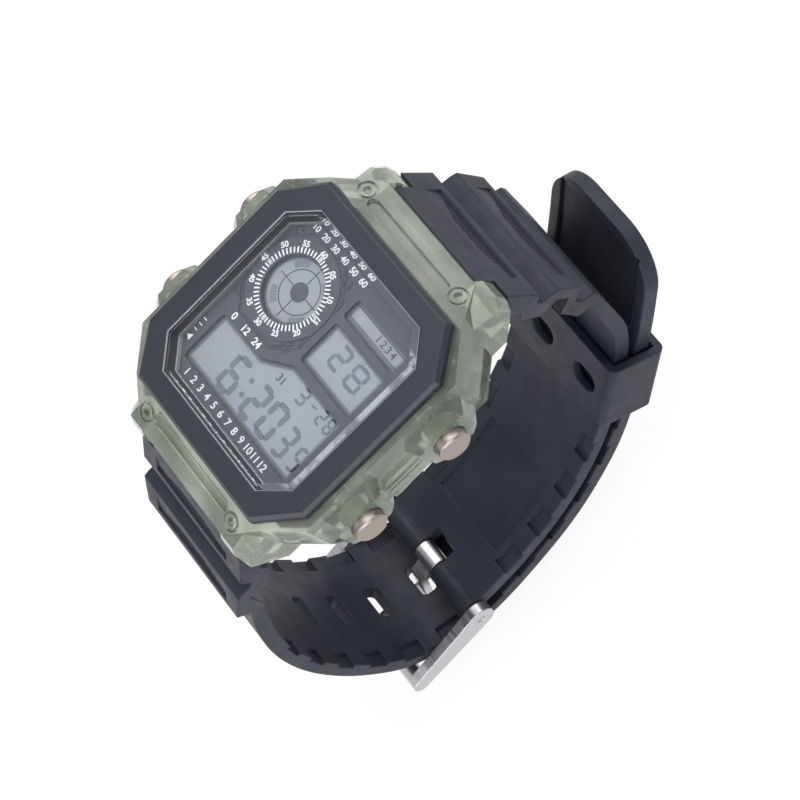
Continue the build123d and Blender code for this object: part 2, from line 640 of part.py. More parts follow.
with BuildPart() as light_guide:
    with Locations((0, 0, guide_z + GUIDE_THICKNESS / 2)):
        Box(2 * GUIDE_HALF_WIDTH, 2 * GUIDE_HALF_LENGTH, GUIDE_THICKNESS)
    chamfer(light_guide.edges().filter_by(Axis.Z), GUIDE_THICKNESS)
light_guide.part.label = "light_guide"
export_step(light_guide.part, "parts/light_guide.step")

with BuildPart() as backlight_lamp:
    lamp_x = GUIDE_HALF_WIDTH + GLUE_GAP + LAMP_WIDTH / 2
    with Locations((lamp_x, 0, guide_z + GUIDE_THICKNESS / 2)):
        Box(LAMP_WIDTH, LAMP_LENGTH, GUIDE_THICKNESS)
backlight_lamp.part.label = "backlight_lamp"
export_step(backlight_lamp.part, "parts/backlight_lamp.step")

# Striped rubber connectors from the board to the display
with BuildPart() as zebra_connectors:
    connector_height = lcd_z - board_z - BOARD_THICKNESS
    with Locations((0, 0, lcd_z - connector_height / 2)):
        with GridLocations(0, 2 * CONNECTOR_Y, 1, 2):
            Box(CONNECTOR_LENGTH, CONNECTOR_WIDTH, connector_height)
zebra_connectors.part.label = "zebra_connectors"
export_step(zebra_connectors.part, "parts/zebra_connectors.step")

# Module frame
with BuildPart() as module_frame:
    with BuildSketch(Plane.XY.offset(frame_z)):
        Polygon(*octagon(frame_half, frame_half, CAVITY_CORNER, CAVITY_CORNER), align=None)
    extrude(amount=dial_z - frame_z)
    with BuildSketch(Plane.XY.offset(frame_z)):
        inside = frame_half - FRAME_WALL
        Polygon(*octagon(inside, inside, CAVITY_CORNER, CAVITY_CORNER), align=None)
    extrude(amount=floor_z - frame_z, mode=Mode.SUBTRACT)
    pocket_z = floor_z + FRAME_FLOOR
    with BuildSketch(Plane.XY.offset(pocket_z)):
        Polygon(*octagon(LCD_HALF_WIDTH + GLUE_GAP, LCD_HALF_LENGTH + GLUE_GAP, LCD_CORNER, LCD_CORNER),
                align=None)
    extrude(amount=dial_z - pocket_z, mode=Mode.SUBTRACT)
    with BuildSketch(Plane.XY.offset(floor_z)):
        Rectangle(2 * FLOOR_OPENING_X, 2 * FLOOR_OPENING_Y)
        with GridLocations(0, 2 * CONNECTOR_Y, 1, 2):
            Rectangle(CONNECTOR_LENGTH + 2 * GLUE_GAP, CONNECTOR_WIDTH + 2 * GLUE_GAP)
        with Locations((BOARD_SCREW_PLACE, -BOARD_SCREW_PLACE), (-BOARD_SCREW_PLACE, BOARD_SCREW_PLACE)):
            Circle(BOARD_SCREW_RADIUS + SEAL_FIT)
    extrude(amount=FRAME_FLOOR, mode=Mode.SUBTRACT)
    notch_z = BUTTON_Z - NOTCH_WIDTH / 2
    for side in (-1, 1):
        with Locations((side * (NOTCH_START + frame_half) / 2, 0, (notch_z + dial_z) / 2)):
            with GridLocations(0, 2 * BUTTON_Y, 1, 2):
                Box(frame_half - NOTCH_START, NOTCH_WIDTH, dial_z - notch_z, mode=Mode.SUBTRACT)
module_frame.part.label = "module_frame"
export_step(module_frame.part, "parts/module_frame.step")

# Circuit board
with BuildPart() as circuit_board:
    with BuildSketch(Plane.XY.offset(board_z)):
        Polygon(*octagon(board_half, board_half, CAVITY_CORNER, CAVITY_CORNER), align=None)
        for side in (-1, 1):
            with Locations((side * (BOARD_NOTCH_START + board_half) / 2, 0)):
                with GridLocations(0, 2 * BUTTON_Y, 1, 2):
                    Rectangle(board_half - BOARD_NOTCH_START, NOTCH_WIDTH, mode=Mode.SUBTRACT)
        with Locations((BOARD_SCREW_PLACE, -BOARD_SCREW_PLACE), (-BOARD_SCREW_PLACE, BOARD_SCREW_PLACE)):
            Circle(BOARD_SCREW_RADIUS + RUNNING_FIT, mode=Mode.SUBTRACT)
    extrude(amount=BOARD_THICKNESS)
circuit_board.part.label = "circuit_board"
export_step(circuit_board.part, "parts/circuit_board.step")

# Parts on the board
board_top = board_z + BOARD_THICKNESS
with BuildPart() as control_chip:
    with Locations((0, 0, board_top + CHIP_HEIGHT / 2)):
        Box(CHIP_SIDE, CHIP_SIDE, CHIP_HEIGHT)
control_chip.part.label = "control_chip"
export_step(control_chip.part, "parts/control_chip.step")

with BuildPart() as chip_capacitors:
    with Locations((0, 0, board_top + CAPACITOR_HEIGHT / 2)):
        with GridLocations(2 * CAPACITOR_X, 2 * CAPACITOR_Y, 2, 2):
            Box(CAPACITOR_LENGTH, CAPACITOR_WIDTH, CAPACITOR_HEIGHT)
chip_capacitors.part.label = "chip_capacitors"
export_step(chip_capacitors.part, "parts/chip_capacitors.step")

with BuildPart() as quartz_crystal:
    place = QUARTZ_PLACE / sqrt(2)
    with Locations(Location((place, place, board_z - QUARTZ_RADIUS), (0, 0, 45))):
        Cylinder(QUARTZ_RADIUS, QUARTZ_LENGTH, rotation=(90, 0, 0))
quartz_crystal.part.label = "quartz_crystal"
export_step(quartz_crystal.part, "parts/quartz_crystal.step")

with BuildPart() as button_contacts:
    for side in (-1, 1):
        with Locations((side * (CONTACT_PLACE - CONTACT_THICKNESS / 2), 0, board_top + CONTACT_HEIGHT / 2)):
            with GridLocations(0, 2 * BUTTON_Y, 1, 2):
                Box(CONTACT_THICKNESS, CONTACT_WIDTH, CONTACT_HEIGHT)
        with Locations((side * (CONTACT_PLACE - CONTACT_FOOT / 2), 0, board_top + CONTACT_THICKNESS / 2)):
            with GridLocations(0, 2 * BUTTON_Y, 1, 2):
                Box(CONTACT_FOOT, CONTACT_WIDTH, CONTACT_THICKNESS)
button_contacts.part.label = "button_contacts"
export_step(button_contacts.part, "parts/button_contacts.step")

with BuildPart() as board_screws:
    shaft_length = floor_z + FRAME_FLOOR - board_z
    with Locations((BOARD_SCREW_PLACE, -BOARD_SCREW_PLACE), (-BOARD_SCREW_PLACE, BOARD_SCREW_PLACE)):
        with Locations((0, 0, board_z - BOARD_SCREW_HEAD_HEIGHT / 2)):
            Cylinder(BOARD_SCREW_HEAD, BOARD_SCREW_HEAD_HEIGHT)
        with Locations((0, 0, board_z + shaft_length / 2)):
            Cylinder(BOARD_SCREW_RADIUS, shaft_length)
board_screws.part.label = "board_screws"
export_step(board_screws.part, "parts/board_screws.step")

# Battery with its insulator and clamp
with BuildPart() as battery:
    rim_height = BATTERY_THICKNESS - BATTERY_STEP
    with Locations((0, 0, battery_z + BATTERY_STEP + rim_height / 2)):
        Cylinder(BATTERY_RADIUS, rim_height)
    with Locations((0, 0, battery_z + BATTERY_STEP / 2)):
        Cylinder(BATTERY_RADIUS - 2 * BATTERY_STEP, BATTERY_STEP)
battery.part.label = "battery"
export_step(battery.part, "parts/battery.step")

with BuildPart() as battery_insulator:
    with Locations((0, 0, board_z - INSULATOR_THICKNESS / 2)):
        Cylinder(INSULATOR_RADIUS, INSULATOR_THICKNESS)
battery_insulator.part.label = "battery_insulator"
export_step(battery_insulator.part, "parts/battery_insulator.step")

with BuildPart() as battery_clamp:
    with Locations((0, 0, clamp_z + CLAMP_THICKNESS / 2)):
        Box(CLAMP_WIDTH, 2 * CLAMP_HALF_LENGTH, CLAMP_THICKNESS)
    for end in (-1, 1):
        with Locations((0, end * (CLAMP_HALF_LENGTH - CLAMP_THICKNESS / 2), (clamp_z + board_z) / 2)):
            Box(CLAMP_WIDTH, CLAMP_THICKNESS, board_z - clamp_z)
battery_clamp.part.label = "battery_clamp"
export_step(battery_clamp.part, "parts/battery_clamp.step")

# Buzzer disc on the back, and the pads that press the module up
piezo_offset = -PIEZO_PLACE / sqrt(2)
with BuildPart() as buzzer_disc:
    with Locations((piezo_offset, piezo_offset, BACK_THICKNESS + GLUE_GAP + PIEZO_THICKNESS / 2)):
        Cylinder(PIEZO_RADIUS, PIEZO_THICKNESS)
buzzer_disc.part.label = "buzzer_disc"
export_step(buzzer_disc.part, "parts/buzzer_disc.step")

with BuildPart() as cushion_pads:
    pad_height = FRAME_FOOT - 2 * GLUE_GAP
    pad_x = frame_half - PAD_WIDTH / 2 - GLUE_GAP
    with Locations((0, 0, BACK_THICKNESS + FRAME_FOOT / 2)):
        with GridLocations(2 * pad_x, 0, 2, 1):
            Box(PAD_WIDTH, PAD_LENGTH, pad_height)
cushion_pads.part.label = "cushion_pads"
export_step(cushion_pads.part, "parts/cushion_pads.step")


def coil(radius, wire, length, turns, seat):
    """Sweep a round wire along a helix that rises along a plane's normal."""
    centre_length = length - wire
    path = Helix(centre_length / turns, centre_length, radius, mode=Mode.PRIVATE)
    path = path.moved(seat.offset(wire / 2).location)
    with BuildSketch(Plane(origin=path @ 0, z_dir=path % 0)) as section:
        Circle(wire / 2)
    sweep(section.sketch, path=path)


# Spring from the board to the buzzer disc
with BuildPart() as buzzer_spring:
    spring_offset = -BUZZER_SPRING_PLACE / sqrt(2)
    spring_low = BACK_THICKNESS + 2 * GLUE_GAP + PIEZO_THICKNESS
    coil(BUZZER_SPRING_RADIUS, BUZZER_SPRING_WIRE, board_z - spring_low - GLUE_GAP, BUZZER_SPRING_TURNS,
         Plane(origin=(spring_offset, spring_offset, spring_low)))
buzzer_spring.part.label = "buzzer_spring"
export_step(buzzer_spring.part, "parts/buzzer_spring.step")

# Case back, its gasket and its screws
with BuildPart() as case_back:
    with BuildSketch():
        Polygon(*octagon(BACK_HALF_WIDTH, BACK_HALF_LENGTH, BACK_CORNER, BACK_CORNER), align=None)
    extrude(amount=BACK_THICKNESS)
    chamfer(case_back.faces().sort_by(Axis.Z)[0].edges(), BACK_EDGE)
    with GridLocations(2 * SCREW_PLACE, 2 * SCREW_PLACE, 2, 2):
        with Locations((0, 0, SCREW_HEAD_HEIGHT / 2)):
            Cylinder(SCREW_HEAD_RADIUS + RUNNING_FIT, SCREW_HEAD_HEIGHT, mode=Mode.SUBTRACT)
        with Locations((0, 0, BACK_THICKNESS / 2)):
            Cylinder(SCREW_RADIUS + RUNNING_FIT, BACK_THICKNESS, mode=Mode.SUBTRACT)
case_back.part.label = "case_back"
export_step(case_back.part, "parts/case_back.step")

with BuildPart() as case_back_gasket:
    with BuildSketch(Plane.XY.offset(BACK_THICKNESS)):
        outside = CAVITY_HALF + MOUTH_WIDTH - GLUE_GAP
        Polygon(*octagon(outside, outside, CAVITY_CORNER, CAVITY_CORNER), align=None)
        Polygon(*octagon(CAVITY_HALF, CAVITY_HALF, CAVITY_CORNER, CAVITY_CORNER), align=None,
                mode=Mode.SUBTRACT)
    extrude(amount=MOUTH_DEPTH - GLUE_GAP)
case_back_gasket.part.label = "case_back_gasket"
export_step(case_back_gasket.part, "parts/case_back_gasket.step")

with BuildPart() as case_back_screws:
    with GridLocations(2 * SCREW_PLACE, 2 * SCREW_PLACE, 2, 2):
        with Locations((0, 0, SCREW_HEAD_HEIGHT / 2)):
            Cylinder(SCREW_HEAD_RADIUS, SCREW_HEAD_HEIGHT)
        with Locations((0, 0, (SCREW_HEAD_HEIGHT + SCREW_LENGTH) / 2)):
            Cylinder(SCREW_RADIUS, SCREW_LENGTH - SCREW_HEAD_HEIGHT)
        with Locations((0, 0, SCREW_SLOT / 2)):
            Box(2 * SCREW_HEAD_RADIUS, SCREW_SLOT, SCREW_SLOT, mode=Mode.SUBTRACT)
            Box(SCREW_SLOT, 2 * SCREW_HEAD_RADIUS, SCREW_SLOT, mode=Mode.SUBTRACT)
case_back_screws.part.label = "case_back_screws"
export_step(case_back_screws.part, "parts/case_back_screws.step")

# Round seals on the button stems
with BuildPart() as button_seals:
    for side in (-1, 1):
        with Locations((side * SEAL_PLACE, BUTTON_Y, BUTTON_Z), (side * SEAL_PLACE, -BUTTON_Y, BUTTON_Z)):
            Torus(STEM_RADIUS + SEAL_WIRE + SEAL_FIT, SEAL_WIRE, rotation=(0, 90, 0))
button_seals.part.label = "button_seals"
export_step(button_seals.part, "parts/button_seals.step")

# The four push buttons, each with its spring and its retaining clip
clip_outer = CAVITY_HALF - RUNNING_FIT
for name, side, end in (("adjust", -1, 1), ("mode", -1, -1), ("light", 1, 1), ("start", 1, -1)):
    axis_plane = Plane(origin=(0, end * BUTTON_Y, BUTTON_Z), x_dir=(0, 1, 0), z_dir=(side, 0, 0))
    with BuildPart() as button:
        with BuildSketch(axis_plane.offset(head_inner)):
            Circle(HEAD_RADIUS)
        extrude(amount=HEAD_LENGTH)
        with BuildSketch(axis_plane.offset(STEM_END)):
            Circle(STEM_RADIUS)
        extrude(amount=head_inner - STEM_END)
        with BuildSketch(axis_plane.offset(clip_outer - CLIP_THICKNESS - SEAL_FIT)):
            Circle(STEM_RADIUS)
            Circle(CLIP_NECK, mode=Mode.SUBTRACT)
        extrude(amount=CLIP_THICKNESS + 2 * SEAL_FIT, mode=Mode.SUBTRACT)
        chamfer(button.edges().filter_by(GeomType.CIRCLE).sort_by(SortBy.DISTANCE)[-1], HEAD_CHAMFER)
    button.part.label = name + "_button"
    export_step(button.part, "parts/" + name + "_button.step")

    with BuildPart() as clip:
        with BuildSketch(axis_plane.offset(clip_outer - CLIP_THICKNESS)):
            Circle(CLIP_RADIUS)
            Circle(CLIP_NECK + SEAL_FIT, mode=Mode.SUBTRACT)
            with Locations((0, CLIP_RADIUS / 2)):
                Rectangle(CLIP_OPENING, CLIP_RADIUS, mode=Mode.SUBTRACT)
        extrude(amount=CLIP_THICKNESS)
    clip.part.label = name + "_clip"
    export_step(clip.part, "parts/" + name + "_clip.step")

    with BuildPart() as spring:
        coil(SPRING_RADIUS, SPRING_WIRE, head_inner - well_floor - 2 * SEAL_FIT, SPRING_TURNS,
             axis_plane.offset(well_floor + SEAL_FIT))
    spring.part.label = name + "_spring"
    export_step(spring.part, "parts/" + name + "_spring.step")

# Lug bars, with their thin sprung tips in the lugs
for name, end in (("lug_bar_12", 1), ("lug_bar_6", -1)):
    with BuildPart() as lug_bar:
        body_half = lug_half - RUNNING_FIT
        tip_half = lug_half + PIN_TIP_LENGTH - LOOSE_FIT
        with BuildSketch(Plane.YZ):
            with Locations((end * pin_y, PIN_Z)):
                Circle(PIN_RADIUS)
        extrude(amount=body_half, both=True)
        with BuildSketch(Plane.YZ):
            with Locations((end * pin_y, PIN_Z)):
                Circle(PIN_TIP_RADIUS)
        extrude(amount=tip_half, both=True)
    lug_bar.part.label = name
    export_step(lug_bar.part, "parts/" + name + ".step")


def root_outline(line, ribs, rib_end, root_end):
    """The stiff ribbed root: grooves outside, hollows inside."""
    grooves = [FIRST_GROOVE + n * RIB_PITCH for n in range(ribs - 1)]
    low = GROOVE_WIDTH / 2
    high = low + GROOVE_SLOPE
    points = [(-ROOT_TOP, RIB_RISES[0] - ROOT_THICKNESS), (-ROOT_TOP, RIB_RISES[0])]
    for middle, floor, rise, next_rise, bevel, next_bevel in zip(
            grooves, GROOVE_FLOORS, RIB_RISES, RIB_RISES[1:], RIB_BEVELS, RIB_BEVELS[1:]):
        points += [(middle - high - bevel, rise), (middle - high, rise - bevel), (middle - low, floor)]
        points += [(middle + low, floor), (middle + high, next_rise - next_bevel)]
        points += [(middle + high + next_bevel, next_rise)]
    points += [(rib_end, RIB_RISES[ribs - 1]), (root_end, half_strap), (root_end, -half_strap)]
    for n, middle in reversed(list(enumerate(grooves))):
        land_end = middle + LAND_BEHIND
        land_start = middle - LAND_BEFORE
        hollow = RIB_RISES[n] - ROOT_THICKNESS if n else FIRST_HOLLOW_HEIGHT
        points += [(land_end + HOLLOW_SLOPE, RIB_RISES[n + 1] - ROOT_THICKNESS), (land_end, -LAND_DEPTH)]
        points += [(land_start, -LAND_DEPTH), (land_start - HOLLOW_SLOPE, hollow)]
    points += [(0, 0)]
    return [line.spot(station, height) for station, height in points]


def panels(line):
    """Sunk wedges on the faces of the first ribs, deep towards the groove."""
    for n in range(PANELS):
        deep = FIRST_GROOVE + n * RIB_PITCH - GROOVE_WIDTH / 2 - GROOVE_SLOPE - PANEL_SETBACK
        top = RIB_RISES[n]
        outline = ((deep - PANEL_WIDTH, top), (deep, top - PANEL_DEPTH), (deep, top + OVERRUN),
                   (deep - PANEL_WIDTH, top + OVERRUN))
        with BuildSketch(Plane.YZ) as wedge:
            Polygon(*[line.spot(station, height) for station, height in outline], align=None)
        extrude(wedge.sketch, amount=PANEL_LENGTH / 2, both=True, mode=Mode.SUBTRACT)


def strap_side(line, end, length, ribs, rib_end, root_end):
    """The ribbed root and the tapered stretch of a strap, with its eye at the lug."""
    with BuildSketch(Plane.YZ) as side_view:
        with BuildLine():
            line.band(root_end, length, -half_strap, half_strap)
        make_face()
        Polygon(*root_outline(line, ribs, rib_end, root_end), align=None)
    extrude(side_view.sketch, amount=STRAP_HALF_WIDTH, both=True)
    with BuildSketch(Plane.YZ) as eye:
        with Locations(line.spot(0, 0)):
            Circle(EYE_RADIUS)
    extrude(eye.sketch, amount=neck_half, both=True)
    # The width tapers down the side of the wrist
    reach = UPPER_LENGTH + lug_reach
    with BuildSketch(Plane.XZ) as front_view:
        half = [(STRAP_HALF_WIDTH, PIN_Z + lug_reach), (STRAP_HALF_WIDTH, STRAP_TAPER_START),
                (STRAP_NARROW_HALF_WIDTH, STRAP_TAPER_END), (STRAP_NARROW_HALF_WIDTH, -reach)]
        Polygon(*half, *[(-x, z) for x, z in reversed(half)], align=None)
    extrude(front_view.sketch, amount=reach, both=True, mode=Mode.INTERSECT)
    # The neck between the lugs, cut along the lugs' ends
    shoulder = lug_reach + NECK_GAP
    for start in (neck_half, -neck_half - LUG_WIDTH):
        with BuildSketch(Plane.YZ.offset(start)) as shoulder_view:
            Polygon(
                (0, rim_z - NECK_DROP), (end * (shoulder - LUG_UNDERCUT), rim_z - NECK_DROP),
                (end * shoulder, rim_z + LUG_CHIN - NECK_GAP), (end * shoulder, seat_z), (0, seat_z),
                align=None,
            )
        extrude(shoulder_view.sketch, amount=LUG_WIDTH, mode=Mode.SUBTRACT)
    with BuildSketch(Plane.YZ) as bore:
        with Locations(line.spot(0, 0)):
            Circle(PIN_RADIUS + RUNNING_FIT)
    extrude(bore.sketch, amount=STRAP_HALF_WIDTH, both=True, mode=Mode.SUBTRACT)
    panels(line)


def pockets(line, start, count):
    """Small pockets along both edges of the face next to the wrist."""
    for n in range(count):
        with BuildSketch(line.plane(start + n * POCKET_PITCH, POCKET_DEPTH - half_strap)) as pair:
            with GridLocations(2 * STRAP_NARROW_HALF_WIDTH, 0, 2, 1):
                Rectangle(2 * POCKET_WIDTH, POCKET_LENGTH)
        extrude(pair.sketch, amount=-OVERRUN, mode=Mode.SUBTRACT)


def field(line, start, end, half_width):
    """A wide sunk field in the face next to the wrist."""
    with BuildSketch(Plane.YZ) as side_view:
        with BuildLine():
            line.band(start, end, -half_strap - OVERRUN, FIELD_DEPTH - half_strap)
        make_face()
    extrude(side_view.sketch, amount=half_width, both=True, mode=Mode.SUBTRACT)


# Upper strap, which carries the buckle
with BuildPart() as upper_strap:
    strap_side(upper_line, 1, UPPER_LENGTH, UPPER_RIBS, UPPER_RIB_END, UPPER_ROOT_END)
    with BuildSketch(Plane.YZ):
        with Locations((bar_y, bar_z)):
            Circle(BAR_EYE_RADIUS)
    extrude(amount=STRAP_NARROW_HALF_WIDTH, both=True)
    with BuildSketch(Plane.YZ):
        with Locations((bar_y, bar_z)):
            Circle(BAR_RADIUS + RUNNING_FIT)
    extrude(amount=STRAP_HALF_WIDTH, both=True, mode=Mode.SUBTRACT)
    slot_end = BAR_EYE_RADIUS + OVERRUN
    with BuildSketch(upper_line.plane(UPPER_LENGTH + (slot_end - SLOT_LENGTH) / 2, 0)):
        Rectangle(SLOT_WIDTH, SLOT_LENGTH + slot_end)
    extrude(amount=slot_end, both=True, mode=Mode.SUBTRACT)
    pockets(upper_line, UPPER_POCKET_START, UPPER_POCKETS)
    field(upper_line, FIELD_START, FIELD_END, FIELD_HALF_WIDTH)
upper_strap.part.label = "upper_strap"
export_step(upper_strap.part, "parts/upper_strap.step")

# Lower strap, which has the holes and laps over the upper strap
with BuildPart() as lower_strap:
    strap_side(lower_line, -1, LOWER_SIDE_LENGTH, LOWER_RIBS, LOWER_RIB_END, LOWER_ROOT_END)
    with BuildSketch(Plane.YZ):
        with BuildLine():
            lower_line.band(LOWER_SIDE_LENGTH, lower_line.length, -half_strap, half_strap)
        make_face()
    extrude(amount=STRAP_NARROW_HALF_WIDTH, both=True)
    tip_y, tip_z = lower_line.spot(lower_line.length, 0)
    tip_face = lower_strap.faces().sort_by_distance((0, tip_y, tip_z))[0]
    fillet(tip_face.edges().sort_by(Axis.X)[::3], TAIL_ROUNDING)
    for n in range(-HOLES_BEFORE, HOLES_AFTER + 1):
        with BuildSketch(lower_line.plane(tongue_station + n * HOLE_PITCH, 0)):
            RectangleRounded(HOLE_LENGTH, HOLE_WIDTH, HOLE_WIDTH / 3)
        extrude(amount=STRAP_THICKNESS, both=True, mode=Mode.SUBTRACT)
    pockets(lower_line, LOWER_POCKET_START, LOWER_POCKETS)
    field(lower_line, lower_line.length - TAIL_LENGTH + TAIL_FIELD_START,
          lower_line.length - TAIL_FIELD_MARGIN, STRAP_NARROW_HALF_WIDTH - TAIL_FIELD_MARGIN)
lower_strap.part.label = "lower_strap"
export_step(lower_strap.part, "parts/lower_strap.step")

# Keeper loop round both layers
keeper_inner = -half_strap - KEEPER_INNER_GAP
keeper_outer = KEEPER_LAP + half_strap + KEEPER_OUTER_GAP
keeper_half = STRAP_NARROW_HALF_WIDTH + KEEPER_SIDE_GAP
with BuildPart() as keeper:
    keeper_seat = upper_line.plane(KEEPER_STATION, (keeper_inner + keeper_outer) / 2)
    with BuildSketch(keeper_seat.rotated((-90, 0, 0))):
        RectangleRounded(2 * (keeper_half + KEEPER_WALL), keeper_outer - keeper_inner + 2 * KEEPER_WALL,
                         KEEPER_ROUNDING)
        Rectangle(2 * keeper_half, keeper_outer - keeper_inner, mode=Mode.SUBTRACT)
    extrude(amount=KEEPER_LENGTH / 2, both=True)
    with BuildSketch(upper_line.plane(KEEPER_STATION, keeper_inner)):
        with Locations((KEEPER_HOLE_X, 0)):
            with GridLocations(KEEPER_HOLE_PITCH, 0, 2, 1):
                SlotOverall(KEEPER_HOLE_LENGTH, KEEPER_HOLE_WIDTH)
    extrude(amount=-KEEPER_WALL - OVERRUN, mode=Mode.SUBTRACT)
keeper.part.label = "keeper"
export_step(keeper.part, "parts/keeper.step")

# Buckle frame, with its spring bar
arm_inner = STRAP_NARROW_HALF_WIDTH + BUCKLE_SIDE_GAP
arm_outer = arm_inner + BUCKLE_ARM_THICKNESS
front_y = bar_y + BUCKLE_REACH * cos(radians(BUCKLE_ANGLE))
front_z = bar_z + BUCKLE_REACH * sin(radians(BUCKLE_ANGLE))
with BuildPart() as buckle_frame:
    for side in (-1, 1):
        with BuildSketch(Plane.YZ.offset(side * (arm_inner + arm_outer) / 2)):
            with Locations((bar_y, bar_z)):
                Circle(BUCKLE_ARM_RADIUS)
            with Locations((front_y, front_z)):
                Circle(BUCKLE_NOSE_RADIUS)
            make_hull()
        extrude(amount=BUCKLE_ARM_THICKNESS / 2, both=True)
    with BuildSketch(Plane.YZ):
        with Locations((front_y, front_z)):
            Circle(BUCKLE_NOSE_RADIUS)
    extrude(amount=arm_inner, both=True)
    with BuildSketch(Plane.YZ):
        with Locations((bar_y, bar_z)):
            Circle(BAR_TIP_RADIUS + RUNNING_FIT)
    extrude(amount=arm_outer + OVERRUN, both=True, mode=Mode.SUBTRACT)
buckle_frame.part.label = "buckle_frame"
export_step(buckle_frame.part, "parts/buckle_frame.step")

with BuildPart() as buckle_bar:
    for radius, half in ((BAR_RADIUS, arm_inner - RUNNING_FIT), (BAR_TIP_RADIUS, arm_outer - RUNNING_FIT)):
        with BuildSketch(Plane.YZ):
            with Locations((bar_y, bar_z)):
                Circle(radius)
        extrude(amount=half, both=True)
buckle_bar.part.label = "buckle_bar"
export_step(buckle_bar.part, "parts/buckle_bar.step")

# Buckle tongue: out through the hole, then over the front bar
blade_half = TONGUE_THICKNESS / 2
rise = half_strap + TONGUE_HOLE_GAP + blade_half
tip_drop = BUCKLE_NOSE_RADIUS + TONGUE_GAP + blade_half
hole_outer = lower_line.spot(tongue_station, rise)
blade_angle = atan2(front_z - hole_outer[1], front_y - hole_outer[0])
blade_angle += atan2(tip_drop, hypot(front_y - hole_outer[0], front_z - hole_outer[1]))
blade_reach = hypot(front_y - hole_outer[0], front_z - hole_outer[1]) + TONGUE_OVERHANG
blade = [
    (bar_y, bar_z), lower_line.spot(tongue_station, -rise), hole_outer,
    (hole_outer[0] + blade_reach * cos(blade_angle), hole_outer[1] + blade_reach * sin(blade_angle)),
]
with BuildPart() as buckle_tongue:
    with BuildSketch(Plane.YZ):
        for a, b in zip(blade, blade[1:]):
            with Locations(((a[0] + b[0]) / 2, (a[1] + b[1]) / 2)):
                SlotCenterToCenter(hypot(b[0] - a[0], b[1] - a[1]), TONGUE_THICKNESS,
                                   rotation=degrees(atan2(b[1] - a[1], b[0] - a[0])))
    extrude(amount=TONGUE_WIDTH / 2, both=True)
    with BuildSketch(Plane.YZ):
        with Locations((bar_y, bar_z)):
            Circle(TONGUE_BARREL_RADIUS)
    extrude(amount=TONGUE_BARREL_WIDTH / 2, both=True)
    with BuildSketch(Plane.YZ):
        with Locations((bar_y, bar_z)):
            Circle(BAR_RADIUS + RUNNING_FIT)
    extrude(amount=TONGUE_BARREL_WIDTH, both=True, mode=Mode.SUBTRACT)
buckle_tongue.part.label = "buckle_tongue"
export_step(buckle_tongue.part, "parts/buckle_tongue.step")
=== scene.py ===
import json
import math
import bpy
import bmesh
from mathutils import Matrix, Vector


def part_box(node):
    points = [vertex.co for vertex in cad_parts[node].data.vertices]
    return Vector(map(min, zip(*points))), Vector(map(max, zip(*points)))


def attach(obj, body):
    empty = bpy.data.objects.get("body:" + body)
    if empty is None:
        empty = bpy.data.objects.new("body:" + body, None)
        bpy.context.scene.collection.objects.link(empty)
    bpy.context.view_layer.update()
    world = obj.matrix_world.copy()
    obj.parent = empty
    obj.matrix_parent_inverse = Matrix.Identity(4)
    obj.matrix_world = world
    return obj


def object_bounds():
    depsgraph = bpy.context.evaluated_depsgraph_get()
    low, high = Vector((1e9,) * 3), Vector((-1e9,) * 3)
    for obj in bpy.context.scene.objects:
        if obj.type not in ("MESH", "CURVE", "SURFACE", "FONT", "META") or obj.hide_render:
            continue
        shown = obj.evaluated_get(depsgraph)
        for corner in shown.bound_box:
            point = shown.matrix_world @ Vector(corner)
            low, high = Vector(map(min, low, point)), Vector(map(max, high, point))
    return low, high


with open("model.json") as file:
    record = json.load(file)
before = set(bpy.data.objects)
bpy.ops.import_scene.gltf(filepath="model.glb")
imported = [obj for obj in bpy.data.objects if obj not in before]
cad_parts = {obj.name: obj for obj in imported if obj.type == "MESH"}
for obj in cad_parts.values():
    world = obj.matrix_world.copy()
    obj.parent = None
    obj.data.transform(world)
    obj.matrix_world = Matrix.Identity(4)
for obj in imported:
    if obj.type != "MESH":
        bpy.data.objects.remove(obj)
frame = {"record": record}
cad_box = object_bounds()
MM = 0.001

# Camera, as fitted to the photograph: its place in millimetres and its three axes
CAMERA_PLACE = (178.21, 65.74, 313.36)
CAMERA_RIGHT = (0.5594, 0.7008, -0.4427)
CAMERA_UP = (-0.6824, 0.6925, 0.2339)
CAMERA_BACK = (0.4705, 0.1712, 0.8656)
FOCAL_PIXELS = 3186.95
IMAGE_PIXELS = 800
SENSOR_WIDTH = 36.0

# Stage: the floor, the share of white that it glows with, and the light all round
FLOOR_Z = cad_box[0][2] - 0.3 * MM
FLOOR_REACH = 3.0
FLOOR_GLOW = 0.86
WORLD_LIGHT = 0.55
# Lamps: name, place and size in metres, and watts
LAMPS = (
    ("key", (-0.25, 0.35, 0.5), 0.75, 4.3), ("side", (0.55, -0.1, 0.3), 0.6, 2.6),
    ("front", (0.1, -0.5, 0.3), 0.4, 2.0),
)
LAMP_AIM = (0, 0, -0.02)

# Heights of the face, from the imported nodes
DIAL_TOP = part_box("dial_plate")[1][2]
LCD_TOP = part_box("lcd_panel")[1][2]
CRYSTAL_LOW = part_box("crystal")[0][2]
BEZEL_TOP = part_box("bezel_plate")[1][2]

# Thicknesses of the print on the dial and of the ink on the display, and how far print is made bolder
PRINT = 0.03 * MM
INK = 0.02 * MM
BOLDER = 0.022 * MM

# The small round display, the ring of ticks round it and the numbers, in millimetres
RING_CENTRE = (-6.1, 4.4)
RING_WINDOW = 4.15
TICK_CENTRE = (-6.25, 4.36)
TICK_OUTER = 4.95
TICK_INNER = 4.25
TICKS = 60
TICK_WIDTH = 0.17
# Extra ticks, in degrees beside each quarter
EXTRA_TICKS = (-2.0, 2.0)
NUMBER_CENTRE = (-6.38, 4.25)
NUMBER_RADIUS = 5.38
NUMBER_SIZE = 0.98
